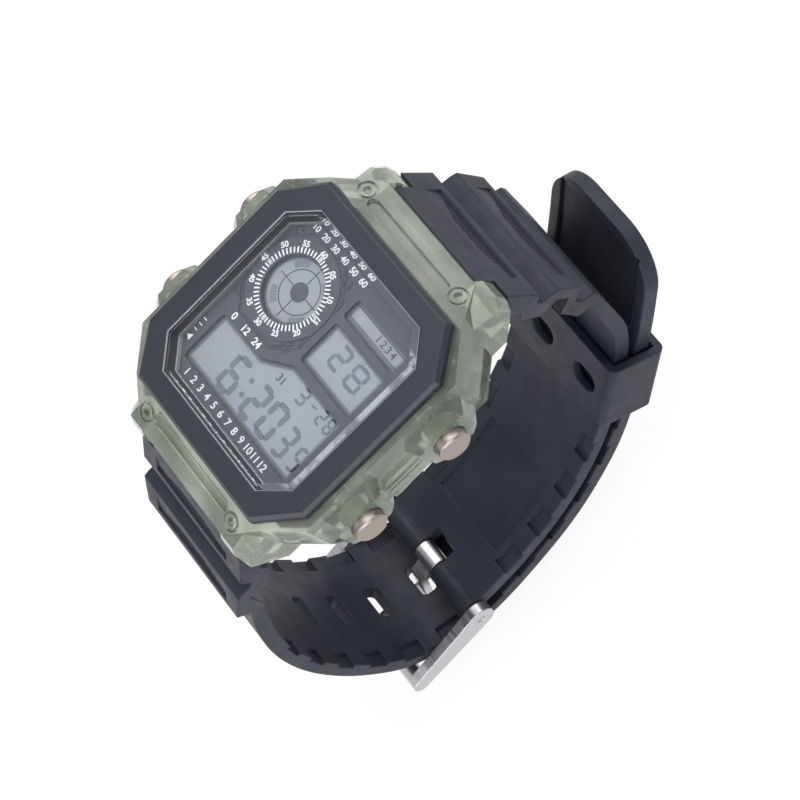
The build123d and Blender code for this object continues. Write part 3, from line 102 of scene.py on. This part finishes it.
# Hours whose number has its head outwards
OUTWARD_NUMBERS = (9, 10, 11, 0, 1, 2, 3)

# The openings of the dial plate over the display
LOWER_WINDOW = [(-10.5, -10.3), (10.5, -10.3), (10.5, -1.1), (0.9, -1.1), (-2.9, -3.5), (-10.5, -3.5)]
RIGHT_WINDOW = [(0.8, -0.1), (10.5, -0.1), (10.5, 5.9), (0.8, 5.9)]
STRIP_WINDOW = [(0.8, 6.8), (10.5, 6.8), (10.5, 9.5), (0.8, 9.5)]
# Painted shade: bands darker than the display just inside the windows' edges, where the dial plate's walls
# shade it. Name, distance from the edge and width
WINDOW_SHADE_BANDS = (("window_edge_painted_shade", 0.0, 0.3), ("window_inner_painted_shade", 0.3, 0.26))
ROUND_SHADE_SHARE = 0.7

# The raised plate and disc round the small display. Ridges of the plate: distance from its edge, width and
# rise. Rings of each boss: outer and inner radius, rise and number of sides
PLATE_CENTRE = (-6.15, 4.2)
PLATE_SHAPE = (6.0, 6.45, 2.9)
PLATE_ROOT = 0.02 * MM
PLATE_RIDGES = ((0, 0.16, 0.12), (0.34, 0.1, 0.08))
DISC_RADIUS = 6.05
DISC_RISE = 0.16 * MM
BOSSES = ((-11.15, 9.2), (-11.15, -0.6), (-1.6, -0.5), (-1.6, 9.4))
BOSS_RINGS = ((0.78, 0.64, 0.1, 6), (0.42, 0.28, 0.12, 24))

# The ledge round the dial and the crystal's side: half sizes and cut corners. Thin bands on them: name,
# shape, how far in its two sides lie, and its lower and upper edge
LEDGE = (12.3, 12.1, 3.0)
CRYSTAL = (13.1, 12.95, 3.3)
THIN_BANDS = (
    ("dial_liner", LEDGE, 0.03, 0.13, DIAL_TOP + 0.01 * MM, CRYSTAL_LOW - 0.02 * MM),
    ("dial_liner", CRYSTAL, -0.04, -0.01, CRYSTAL_LOW - 0.15 * MM, CRYSTAL_LOW + 0.55 * MM),
    ("crystal_glint", LEDGE, 0.0, 0.03, CRYSTAL_LOW - 0.13 * MM, CRYSTAL_LOW - 0.02 * MM),
    ("crystal_glint", CRYSTAL, -0.045, -0.005, BEZEL_TOP - 0.3 * MM, BEZEL_TOP),
)

# Printed scales: numbers, first and last place, height of the row and size
EDGE_SCALES = (
    (range(1, 13), -8.5, 7.2, -11.2, 1.35), (range(10, 70, 10), -9.7, -0.3, 11.0, 1.15),
    ((0, 12, 24), -9.2, -4.6, -2.86, 1.3),
)
# Marks beside the two left buttons: a triangle and three bars above it
MARK_HEIGHTS = (-8.4, 2.5)
MARK_BASE, MARK_TIP, MARK_HALF = -11.35, -12.05, 0.45
MARK_BARS = 3
MARK_BAR_LEFT, MARK_BAR_RIGHT, MARK_BAR_WIDTH = -12.0, -11.4, 0.12
MARK_BAR_START, MARK_BAR_STEP = 1.1, 0.8

# Digits of the display: value, corner, width, height and stroke
DIGITS = (
    (6, -5.5, -9.75, 2.85, 4.95, 0.74), (2, -0.75, -9.75, 2.55, 4.95, 0.74), (0, 2.3, -9.6, 2.75, 4.9, 0.74),
    (3, 5.75, -9.5, 2.15, 4.2, 0.6), (5, 8.75, -9.3, 1.5, 3.3, 0.45),
    (3, 3.5, -3.7, 1.5, 2.2, 0.36), (2, 7.35, -3.5, 1.15, 2.1, 0.32), (8, 8.85, -3.5, 1.15, 2.1, 0.32),
    (2, 3.1, 1.8, 2.25, 3.3, 0.5), (8, 6.3, 1.7, 2.45, 3.3, 0.5),
)
DIGIT_GAP_SHARE = 0.12
COLON = ((-1.56, -8.0), (-1.85, -6.1))
COLON_RADIUS = 0.36
# The dash: its two ends and its width
DASH = (5.85, -2.4, 6.7, -2.3, 0.3)
# The round counter: disc, ring, the cross from the disc outwards, and four fans of strokes
COUNTER_CENTRE = (-5.65, 4.6)
COUNTER_DISC = 1.2
COUNTER_RING = (2.78, 2.64)
CROSS_END, CROSS_WIDTH = 3.7, 0.14
FAN_INNER, FAN_OUTER = 2.95, 3.85
FAN_STEPS, FAN_STEP = 5, 3.2
# Lines of the upper strip, and plain numbers on the display: text, place and size
STRIP_LINES = (7.45, 8.95)
STRIP_LEFT, STRIP_RIGHT = 1.1, 10.3
FINE_LINE = 0.1
DISPLAY_NUMBERS = [("31", 0.75, -3.35, 1.4)] + [(str(i + 1), 5.9 + i * 0.95, 8.2, 1.3) for i in range(4)]

# Sunk wedges on the straps: strap, upper edge and deep edge of each, as places along Y and Z
WEDGES = (
    ("upper_strap", (22.09, 3.1), (22.86, 0.38)), ("upper_strap", (25.58, -4.44), (26.24, -7.35)),
    ("lower_strap", (-22.05, 3.66), (-23.31, 1.13)), ("lower_strap", (-26.83, -3.01), (-28.11, -5.62)),
)
WEDGE_LENGTH = 15.2
# Dots in the wedges: rows from the deep edge up, each shorter than the one below it
KNURL_ROWS = 5
KNURL_PITCH = 0.42
KNURL_EDGE = 0.35
KNURL_ENDS = 1.0
KNURL_SHORTENING = 2
KNURL_SIDES = 6
KNURL_RADIUS = 0.15
KNURL_TOP_SHARE = 0.55
KNURL_ROOT, KNURL_RISE = -0.03, 0.09

# The values between which noise mostly lies
NOISE_LOW, NOISE_HIGH = 0.3, 0.7


def linear(rgb):
    """An sRGB colour from 0 to 255 as linear values."""
    return tuple(((c / 255 + 0.055) / 1.055) ** 2.4 if c > 10 else c / 255 / 12.92 for c in rgb) + (1.0,)


def shade(rgb, share):
    """A darker or lighter share of an sRGB colour, as linear values."""
    return tuple(min(c * share, 1.0) for c in linear(rgb)[:3]) + (1.0,)


class Look:
    """A small helper that builds one node material."""

    def __init__(self, name):
        self.material = bpy.data.materials.new(name)
        self.material.use_nodes = True
        self.tree = self.material.node_tree
        self.shader = self.tree.nodes["Principled BSDF"]
        self.coordinates = self.node("ShaderNodeTexCoord").outputs["Object"]

    def node(self, kind, **values):
        made = self.tree.nodes.new(kind)
        for key, value in values.items():
            setattr(made, key, value)
        return made

    def link(self, a, b):
        self.tree.links.new(a, b)

    def set(self, **values):
        for key, value in values.items():
            self.shader.inputs[key.replace("_", " ")].default_value = value

    def noise(self, scale, detail=3.0, stretch=(1, 1, 1)):
        """Noise over the object, with its scale per metre."""
        mapping = self.node("ShaderNodeMapping")
        mapping.inputs["Scale"].default_value = stretch
        self.link(self.coordinates, mapping.inputs["Vector"])
        texture = self.node("ShaderNodeTexNoise")
        texture.inputs["Scale"].default_value = scale
        texture.inputs["Detail"].default_value = detail
        self.link(mapping.outputs["Vector"], texture.inputs["Vector"])
        return texture.outputs["Fac"]

    def colour(self, value, *stops):
        """Colour the surface by stops along a value from 0 to 1."""
        ramp = self.node("ShaderNodeValToRGB")
        elements = ramp.color_ramp.elements
        while len(elements) < len(stops):
            elements.new(0.5)
        for element, (place, colour) in zip(elements, stops):
            element.position = place
            element.color = colour
        self.link(value, ramp.inputs["Fac"])
        self.link(ramp.outputs["Color"], self.shader.inputs["Base Color"])

    def roughness(self, value, low, high):
        """Let the roughness run from low to high with noise."""
        span = self.node("ShaderNodeMapRange")
        span.inputs["From Min"].default_value = NOISE_LOW
        span.inputs["From Max"].default_value = NOISE_HIGH
        span.inputs["To Min"].default_value = low
        span.inputs["To Max"].default_value = high
        self.link(value, span.inputs["Value"])
        self.link(span.outputs["Result"], self.shader.inputs["Roughness"])

    def relief(self, value, strength, depth, edge=0.0):
        """Bump from a value, over edges rounded by a small radius."""
        bump = self.node("ShaderNodeBump")
        bump.inputs["Strength"].default_value = strength
        bump.inputs["Distance"].default_value = depth
        self.link(value, bump.inputs["Height"])
        if edge:
            bevel = self.node("ShaderNodeBevel", samples=6)
            bevel.inputs["Radius"].default_value = edge
            self.link(bevel.outputs["Normal"], bump.inputs["Normal"])
        self.link(bump.outputs["Normal"], self.shader.inputs["Normal"])

    def mixed(self, share, other):
        """Mix the surface with another shader by a share from 0 to 1."""
        mix = self.node("ShaderNodeMixShader")
        self.link(share, mix.inputs["Fac"])
        self.link(self.shader.outputs["BSDF"], mix.inputs[1])
        self.link(other, mix.inputs[2])
        self.link(mix.outputs["Shader"], self.tree.nodes["Material Output"].inputs["Surface"])

    def part_of(self, value, share):
        """A value times a fixed share."""
        amount = self.node("ShaderNodeMath", operation="MULTIPLY")
        amount.inputs[1].default_value = share
        self.link(value, amount.inputs[0])
        return amount.outputs["Value"]

    def clear_shadow(self, share):
        """Let part of the light through to what lies under a clear piece."""
        shadow = self.node("ShaderNodeLightPath").outputs["Is Shadow Ray"]
        self.mixed(self.part_of(shadow, share), self.node("ShaderNodeBsdfTransparent").outputs["BSDF"])


# Finishes, with relief depths and edge radii in metres
def finish(name, rgb, rough, metal=0.0, vary=0.12, grain=900.0, bump=0.1, edge=0.0):
    """A surface whose colour, roughness and relief vary a little with noise."""
    look = Look(name)
    noise = look.noise(grain, 4.0)
    look.colour(noise, (NOISE_LOW, shade(rgb, 1 - vary)), (NOISE_HIGH, shade(rgb, 1 + vary)))
    look.roughness(look.noise(grain * 0.35), rough * 0.85, min(rough * 1.15, 1.0))
    look.set(Metallic=metal)
    look.relief(noise, bump, 0.03 * MM, edge)
    return look.material


def strap_look():
    """Moulded dark resin: a fine satin skin with faint handling marks."""
    look = Look("strap_resin")
    look.colour(look.noise(150.0, 6.0), (NOISE_LOW, linear((24, 28, 39))), (NOISE_HIGH, linear((34, 38, 52))))
    look.roughness(look.noise(420.0, 6.0), 0.44, 0.6)
    look.relief(look.noise(4200.0), 0.35, 0.05 * MM, 0.4 * MM)
    look.set(Specular_IOR_Level=0.34, Sheen_Weight=0.02, Sheen_Roughness=0.5)
    return look.material


def case_look():
    """Clear resin with a smoky green tint, wavy inside and cloudy where it is thick."""
    look = Look("clear_case")
    look.colour(look.noise(120.0, 4.0, (1, 1, 1.4)), (0.34, linear((136, 146, 132))),
                (0.5, linear((166, 174, 160))), (0.68, linear((198, 204, 191))))
    look.roughness(look.noise(380.0), 0.04, 0.2)
    look.relief(look.noise(110.0, 1.0), 0.1, 0.3 * MM)
    look.set(Transmission_Weight=0.74, IOR=1.44, Coat_Weight=0.25, Coat_Roughness=0.04)
    look.clear_shadow(0.6)
    return look.material


def glass_look(name, rough, tint):
    """Clear glass or acrylic, whose roughness varies a little."""
    look = Look(name)
    look.set(Base_Color=linear(tint), Transmission_Weight=1.0, IOR=1.5)
    look.roughness(look.noise(220.0), rough, rough + 0.012)
    look.clear_shadow(0.97)
    return look.material


def brushed(name, rgb, rough, stretch, edge=0.2 * MM):
    """Metal brushed along one direction."""
    look = Look(name)
    streak = look.noise(2600.0, 3.0, stretch)
    look.colour(streak, (NOISE_LOW, shade(rgb, 0.86)), (NOISE_HIGH, linear(rgb)))
    look.roughness(streak, rough * 0.8, rough * 1.3)
    look.set(Metallic=1.0)
    look.relief(streak, 0.12, 0.02 * MM, edge)
    return look.material


looks = {
    "clear_case": case_look(),
    "bezel_paint": finish("bezel_paint", (33, 36, 47), 0.36, vary=0.1, grain=2400.0, bump=0.08,
                          edge=0.25 * MM),
    "mineral_glass": glass_look("mineral_glass", 0.0, (250, 252, 251)),
    "seal_rubber": finish("seal_rubber", (72, 75, 85), 0.6, vary=0.05, bump=0.02),
    "dial_print": finish("dial_print", (65, 68, 81), 0.42, metal=0.2, vary=0.05, grain=5200.0, bump=0.02),
    "lcd_glass": finish("lcd_glass", (130, 136, 142), 0.34, vary=0.03, grain=260.0, bump=0.01),
    "light_guide_clear": glass_look("light_guide_clear", 0.05, (240, 244, 240)),
    "lamp_epoxy": finish("lamp_epoxy", (240, 232, 190), 0.25),
    "module_plastic": finish("module_plastic", (62, 64, 66), 0.5),
    "board_laminate": finish("board_laminate", (24, 92, 58), 0.35, grain=1500.0),
    "chip_epoxy": finish("chip_epoxy", (28, 28, 30), 0.55),
    "ceramic_chip": finish("ceramic_chip", (176, 150, 116), 0.5),
    "nickel_steel": brushed("nickel_steel", (200, 198, 196), 0.3, (0.05, 1, 1)),
    "spring_steel": brushed("spring_steel", (190, 190, 192), 0.26, (1, 0.05, 1)),
    "contact_brass": brushed("contact_brass", (214, 178, 100), 0.3, (1, 0.05, 1)),
    "film": finish("film", (196, 150, 50), 0.3),
    "back_steel": brushed("back_steel", (188, 188, 190), 0.28, (1, 0.04, 1)),
    "button_steel": brushed("button_steel", (168, 157, 152), 0.38, (1, 1, 0.08), 0.15 * MM),
    "strap_resin": strap_look(),
    "buckle_steel": brushed("buckle_steel", (204, 202, 206), 0.3, (0.06, 1, 1)),
    "elastomer": finish("elastomer", (92, 92, 95), 0.65),
}
slot_of = {part["node"]: part["material_slot"] for part in frame["record"]["subparts"]}
for node, slot in slot_of.items():
    body = bpy.data.objects[node]
    body.data.materials.clear()
    body.data.materials.append(looks[slot])
    for face in body.data.polygons:
        face.use_smooth = False

ink_white = finish("ink_white", (214, 216, 220), 0.5, vary=0.04, grain=4000.0, bump=0.02)
ink_dark = finish("ink_dark", (62, 66, 74), 0.5, vary=0.04, grain=4000.0, bump=0.02)
ink_segment = finish("ink_segment", (88, 97, 110), 0.5, vary=0.05, grain=1200.0, bump=0.02)
# Painted shade for the bands inside the display's windows: a darker one at the edge and a softer one inside
# it
painted_shade_dark = finish("painted_shade_dark", (74, 78, 86), 0.5, vary=0.04, grain=1200.0, bump=0.02)
painted_shade_soft = finish("painted_shade_soft", (98, 103, 110), 0.5, vary=0.04, grain=1200.0, bump=0.02)
plate_grey = finish("plate_grey", (66, 68, 78), 0.36, metal=0.25, vary=0.06, grain=5200.0, bump=0.02)
glint_pale = finish("glint_pale", (158, 161, 166), 0.4, vary=0.03, grain=300.0, bump=0.0)
liner_grey = finish("liner_grey", (98, 101, 110), 0.3, metal=0.2, vary=0.03, grain=300.0, bump=0.0)
disc_grey = finish("disc_grey", (62, 65, 78), 0.42, metal=0.15, vary=0.05, grain=5200.0, bump=0.015)


class Sheet:
    """Small closed bodies gathered in one mesh. Outlines are in millimetres, heights in metres."""

    def __init__(self):
        self.points = []
        self.faces = []

    def close(self, lower, upper):
        """A closed body between two outlines of points, with as many points in each."""
        start = len(self.points)
        count = len(lower)
        self.points += lower + upper
        self.faces.append([start + i for i in reversed(range(count))])
        self.faces.append([start + count + i for i in range(count)])
        for i in range(count):
            j = (i + 1) % count
            self.faces.append([start + i, start + j, start + count + j, start + count + i])

    def prism(self, outline, low, high):
        """A prism between two heights over an outline."""
        self.close(*([(x * MM, y * MM, z) for x, y in outline] for z in (low, high)))

    def bar(self, x0, y0, x1, y1, width, low, high):
        """A straight bar of a width between two points."""
        length = math.hypot(x1 - x0, y1 - y0)
        nx, ny = (y0 - y1) / length * width / 2, (x1 - x0) / length * width / 2
        self.prism([(x0 - nx, y0 - ny), (x1 - nx, y1 - ny), (x1 + nx, y1 + ny), (x0 + nx, y0 + ny)],
                   low, high)

    def spoke(self, centre, angle, inner, outer, width, low, high):
        """A bar along a radius, between two distances from a centre."""
        x, y = centre
        c, s = math.cos(angle), math.sin(angle)
        self.bar(x + inner * c, y + inner * s, x + outer * c, y + outer * s, width, low, high)

    def band(self, outer, inner, low, high):
        """A closed band between two outlines with as many points each."""
        start = len(self.points)
        count = len(outer)
        for outline in (outer, inner):
            for z in (low, high):
                self.points += [(x * MM, y * MM, z) for x, y in outline]
        for i in range(count):
            j = (i + 1) % count
            a, b, c, d = (start + k * count for k in range(4))
            self.faces += [[a + i, a + j, b + j, b + i], [c + j, c + i, d + i, d + j],
                           [b + i, b + j, d + j, d + i], [a + j, a + i, c + i, c + j]]

    def ring(self, centre, outer, inner, low, high, sides=72):
        """A flat ring, or a disc where the inner radius is zero."""
        x, y = centre
        loops = [[(x + r * math.cos(2 * math.pi * i / sides), y + r * math.sin(2 * math.pi * i / sides))
                  for i in range(sides)] for r in (outer, inner)]
        if inner:
            self.band(*loops, low, high)
        else:
            self.prism(loops[0], low, high)

    def piece(self, name, material, body, slot):
        """Make one piece of the mesh, which rides on a body."""
        mesh = bpy.data.meshes.new(name)
        mesh.from_pydata(self.points, [], self.faces)
        mesh.materials.append(material)
        made = bpy.data.objects.new(name, mesh)
        bpy.context.scene.collection.objects.link(made)
        shape = bmesh.new()
        shape.from_mesh(mesh)
        bmesh.ops.remove_doubles(shape, verts=shape.verts, dist=1e-8)
        bmesh.ops.recalc_face_normals(shape, faces=shape.faces)
        shape.to_mesh(mesh)
        shape.free()
        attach(made, body)
        return made


def octagon(half_x, half_y, cut):
    """An eight-sided outline round the middle."""
    return [(half_x, half_y - cut), (half_x - cut, half_y), (cut - half_x, half_y), (-half_x, half_y - cut),
            (-half_x, cut - half_y), (cut - half_x, -half_y), (half_x - cut, -half_y), (half_x, cut - half_y)]


def inset(outline, depth):
    """The outline moved inwards, with its corners kept sharp."""
    moved = []
    count = len(outline)
    for i in range(count):
        sides = []
        for a, b in ((outline[i - 1], outline[i]), (outline[i], outline[(i + 1) % count])):
            length = math.hypot(b[0] - a[0], b[1] - a[1])
            sides.append(((b[0] - a[0]) / length, (b[1] - a[1]) / length))
        (ax, ay), (bx, by) = sides
        turn = ax * by - ay * bx
        along = (1 - ax * bx - ay * by) / turn * depth
        moved.append((outline[i][0] - ay * depth - ax * along, outline[i][1] + ax * depth - ay * along))
    return moved


# Bars of a seven-segment digit: a top, b upper right, c lower right, d bottom, e, f left, g middle
SEGMENTS = {
    0: "abcdef", 2: "abged", 3: "abgcd", 5: "afgcd", 6: "afgedc", 8: "abcdefg",
}


def digit(sheet, value, x, y, width, height, stroke, low, high):
    """Draw one digit with slanted bar ends and small gaps between its bars."""
    half = stroke / 2
    gap = stroke * DIGIT_GAP_SHARE
    middle = y + height / 2
    spans = {
        "a": (x, y + height - half, x + width, y + height - half),
        "g": (x, middle, x + width, middle),
        "d": (x, y + half, x + width, y + half),
        "f": (x + half, y + height, x + half, middle),
        "e": (x + half, middle, x + half, y),
        "b": (x + width - half, y + height, x + width - half, middle),
        "c": (x + width - half, middle, x + width - half, y),
    }
    for key in SEGMENTS[value]:
        x0, y0, x1, y1 = spans[key]
        if y0 == y1:
            shape = [(x0 + half + gap, y0), (x0 + stroke, y0 - half), (x1 - stroke, y0 - half),
                     (x1 - half - gap, y0), (x1 - stroke, y0 + half), (x0 + stroke, y0 + half)]
        else:
            top, bottom = max(y0, y1), min(y0, y1)
            upper = half if top == y + height else gap
            lower = half if bottom == y else gap
            shape = [(x0, bottom + lower), (x0 + half, bottom + half + gap), (x0 + half, top - half - gap),
                     (x0, top - upper), (x0 - half, top - half - gap), (x0 - half, bottom + half + gap)]
        sheet.prism(shape, low, high)


def number_mesh(text, x, y, size, turn, low):
    """The mesh of a printed number, turned about its own middle."""
    curve = bpy.data.curves.new("number", "FONT")
    curve.body = text
    curve.size = size * MM
    curve.align_x = "CENTER"
    curve.align_y = "CENTER"
    curve.extrude = PRINT / 2
    curve.offset = BOLDER
    made = bpy.data.objects.new("number", curve)
    bpy.context.scene.collection.objects.link(made)
    bpy.context.view_layer.update()
    mesh = bpy.data.meshes.new_from_object(made.evaluated_get(bpy.context.evaluated_depsgraph_get()))
    bpy.data.objects.remove(made)
    mesh.transform(Matrix.Translation((x * MM, y * MM, low + PRINT / 2)) @ Matrix.Rotation(turn, 4, "Z"))
    return mesh


def add_numbers(piece, places):
    """Join numbers to a piece."""
    shape = bmesh.new()
    shape.from_mesh(piece.data)
    for place in places:
        mesh = number_mesh(*place)
        shape.from_mesh(mesh)
        bpy.data.meshes.remove(mesh)
    shape.to_mesh(piece.data)
    shape.free()


def dial_print():
    """White print: the ring's ticks and numbers, plain scales along the edges and the button marks."""
    low = DIAL_TOP
    raised = DIAL_TOP + DISC_RISE
    sheet = Sheet()
    step = 360 / TICKS
    angles = [step * i for i in range(TICKS)]
    angles += [90 * i + extra for i in range(4) for extra in EXTRA_TICKS]
    for angle in angles:
        width = TICK_WIDTH if angle % 90 and not angle % step else TICK_WIDTH / 2
        sheet.spoke(TICK_CENTRE, math.radians(angle), TICK_INNER, TICK_OUTER, width, raised, raised + PRINT)
    for y in MARK_HEIGHTS:
        sheet.prism([(MARK_BASE, y - MARK_HALF), (MARK_BASE, y + MARK_HALF), (MARK_TIP, y)],
                    low, low + PRINT)
        for i in range(MARK_BARS):
            row = y + MARK_BAR_START + i * MARK_BAR_STEP
            sheet.bar(MARK_BAR_LEFT, row, MARK_BAR_RIGHT, row, MARK_BAR_WIDTH, low, low + PRINT)
    dial = sheet.piece("dial_marks", ink_white, "case", "dial_print")
    places = []
    for texts, x0, x1, y, size in EDGE_SCALES:
        for i, number in enumerate(texts):
            places.append((str(number), x0 + (x1 - x0) * i / (len(texts) - 1), y, size, 0.0, low))
    for i in range(12):
        angle = math.radians(90 - 30 * i)
        turn = angle - math.pi / 2 if i in OUTWARD_NUMBERS else angle + math.pi / 2
        places.append(("%02d" % (5 * i or 60), NUMBER_CENTRE[0] + NUMBER_RADIUS * math.cos(angle),
                       NUMBER_CENTRE[1] + NUMBER_RADIUS * math.sin(angle), NUMBER_SIZE, turn, raised))
    add_numbers(dial, places)


def ring_plate():
    """The raised eight-sided plate and disc round the small display, with a boss near four corners."""
    low = DIAL_TOP - PLATE_ROOT
    cx, cy = PLATE_CENTRE
    edge = [(cx + x, cy + y) for x, y in octagon(*PLATE_SHAPE)]
    plate = Sheet()
    for depth, width, rise in PLATE_RIDGES:
        plate.band(inset(edge, depth), inset(edge, depth + width), low, DIAL_TOP + rise * MM)
    for boss in BOSSES:
        for outer, inner, rise, sides in BOSS_RINGS:
            plate.ring(boss, outer, inner, low, DIAL_TOP + rise * MM, sides)
    plate.piece("ring_plate", plate_grey, "case", "dial_print")
    disc = Sheet()
    disc.ring(RING_CENTRE, DISC_RADIUS, RING_WINDOW, low, DIAL_TOP + DISC_RISE, sides=96)
    disc.piece("number_disc", disc_grey, "case", "dial_print")


def display_segments():
    """The display: the time, the small digits, the round counter and the strip."""
    low, high = LCD_TOP, LCD_TOP + INK
    sheet = Sheet()
    for values in DIGITS:
        digit(sheet, *values, low, high)
    for dot in COLON:
        sheet.ring(dot, COLON_RADIUS, 0, low, high, sides=8)
    sheet.bar(*DASH, low, high)
    sheet.piece("display_segments", ink_segment, "case", "lcd_glass")
    strokes = Sheet()
    lines = Sheet()
    lines.ring(COUNTER_CENTRE, COUNTER_DISC, 0, low, high, sides=48)
    lines.ring(COUNTER_CENTRE, *COUNTER_RING, low, high)
    for quarter in range(4):
        angle = math.pi / 2 * quarter
        lines.spoke(COUNTER_CENTRE, angle, COUNTER_DISC, CROSS_END, CROSS_WIDTH, low, high)
        for i in range(-FAN_STEPS, FAN_STEPS + 1):
            strokes.spoke(COUNTER_CENTRE, angle + math.pi / 4 + math.radians(i * FAN_STEP),
                          FAN_INNER, FAN_OUTER, FINE_LINE, low, high)
    for y in STRIP_LINES:
        lines.bar(STRIP_LEFT, y, STRIP_RIGHT, y, FINE_LINE, low, high)
    strokes.piece("counter_strokes", ink_segment, "case", "lcd_glass")
    marks = lines.piece("display_lines", ink_dark, "case", "lcd_glass")
    add_numbers(marks, [(*values, 0.0, low) for values in DISPLAY_NUMBERS])


def window_borders():
    """Painted shade: darker bands on the display just inside the edges of its windows, where their walls
    shade it.
    """
    low, high = LCD_TOP, LCD_TOP + INK
    for (name, depth, width), material in zip(WINDOW_SHADE_BANDS, (painted_shade_dark, painted_shade_soft)):
        border = Sheet()
        for window in (LOWER_WINDOW, RIGHT_WINDOW, STRIP_WINDOW):
            border.band(inset(window, depth), inset(window, depth + width), low, high)
        border.ring(RING_CENTRE, RING_WINDOW - depth * ROUND_SHADE_SHARE,
                    RING_WINDOW - (depth + width) * ROUND_SHADE_SHARE, low, high)
        border.piece(name, material, "case", "lcd_glass")


def liner():
    """The grey liner round the dial and the crystal, and the pale lines where its edges catch the light."""
    for name, material in (("dial_liner", liner_grey), ("crystal_glint", glint_pale)):
        sheet = Sheet()
        for piece, shape, outer, inner, low, high in THIN_BANDS:
            if piece == name:
                sheet.band(inset(octagon(*shape), outer), inset(octagon(*shape), inner), low, high)
        sheet.piece(name, material, "case", "dial_print")


def knurling():
    """Small raised dots in the sunk wedges of the straps."""
    for strap, side in (("upper_strap", 1), ("lower_strap", -1)):
        sheet = Sheet()
        for body, (ay, az), (by, bz) in WEDGES:
            if body != strap:
                continue
            length = math.hypot(by - ay, bz - az)
            ty, tz = (by - ay) / length, (bz - az) / length
            ny, nz = -tz * side, ty * side
            for row in range(KNURL_ROWS):
                along = length - KNURL_EDGE - row * KNURL_PITCH
                shift = KNURL_PITCH / 2 if row % 2 else 0.0
                count = int((WEDGE_LENGTH - KNURL_ENDS - KNURL_SHORTENING * row) / KNURL_PITCH)
                for i in range(count):
                    x = (i - (count - 1) / 2) * KNURL_PITCH + shift
                    loops = []
                    for rise, radius in ((KNURL_ROOT, KNURL_RADIUS),
                                         (KNURL_RISE, KNURL_RADIUS * KNURL_TOP_SHARE)):
                        loop = []
                        for k in range(KNURL_SIDES):
                            a = 2 * math.pi / KNURL_SIDES * k
                            u = along + radius * math.sin(a)
                            loop.append(((x + radius * math.cos(a)) * MM, (ay + ty * u + ny * rise) * MM,
                                         (az + tz * u + nz * rise) * MM))
                        loops.append(loop)
                    sheet.close(*loops)
        sheet.piece(strap + "_knurl", looks["strap_resin"], strap, "strap_resin")


dial_print()
ring_plate()
display_segments()
window_borders()
liner()
knurling()

# Camera
scene = bpy.context.scene
lens = bpy.data.cameras.new("camera")
lens.sensor_width = SENSOR_WIDTH
lens.lens = FOCAL_PIXELS / IMAGE_PIXELS * lens.sensor_width
lens.clip_start = 0.01
camera = bpy.data.objects.new("camera", lens)
scene.collection.objects.link(camera)
turn = Matrix((CAMERA_RIGHT, CAMERA_UP, CAMERA_BACK)).transposed().to_4x4()
camera.matrix_world = Matrix.Translation(Vector(CAMERA_PLACE) * MM) @ turn
scene.camera = camera

# Floor
floor_mesh = bpy.data.meshes.new("floor")
floor_mesh.from_pydata([(x * FLOOR_REACH, y * FLOOR_REACH, FLOOR_Z)
                        for x, y in ((-1, -1), (1, -1), (1, 1), (-1, 1))], [], [(0, 1, 2, 3)])
floor = bpy.data.objects.new("floor", floor_mesh)
scene.collection.objects.link(floor)


def backdrop_look():
    """Nearly white where it is seen, also in glass and in reflections, with a faint shadow on it."""
    look = Look("backdrop")
    look.set(Base_Color=(0.9, 0.9, 0.9, 1), Roughness=1.0)
    path = look.node("ShaderNodeLightPath")
    seen = path.outputs["Is Camera Ray"]
    for ray in ("Is Glossy Ray", "Is Transmission Ray"):
        total = look.node("ShaderNodeMath", operation="ADD", use_clamp=True)
        look.link(seen, total.inputs[0])
        look.link(path.outputs[ray], total.inputs[1])
        seen = total.outputs["Value"]
    look.mixed(look.part_of(seen, FLOOR_GLOW), look.node("ShaderNodeEmission").outputs["Emission"])
    return look.material


floor_mesh.materials.append(backdrop_look())

# Soft light all round, which the camera sees as white
world = bpy.data.worlds.new("studio")
world.use_nodes = True
tree = world.node_tree
background = tree.nodes["Background"]
background.inputs["Color"].default_value = (1, 1, 1, 1)
path = tree.nodes.new("ShaderNodeLightPath")
level = tree.nodes.new("ShaderNodeMapRange")
level.inputs["To Min"].default_value = WORLD_LIGHT
level.inputs["To Max"].default_value = 1.0
tree.links.new(path.outputs["Is Camera Ray"], level.inputs["Value"])
tree.links.new(level.outputs["Result"], background.inputs["Strength"])
scene.world = world


def lamp(name, place, size, watts):
    """A square area lamp that faces the middle of the watch."""
    data = bpy.data.lights.new(name, "AREA")
    data.size = size
    data.energy = watts
    made = bpy.data.objects.new(name, data)
    scene.collection.objects.link(made)
    made.location = place
    aim = Vector(LAMP_AIM) - Vector(place)
    made.rotation_euler = aim.to_track_quat("-Z", "Y").to_euler()


for values in LAMPS:
    lamp(*values)
scene.view_settings.view_transform = "Standard"
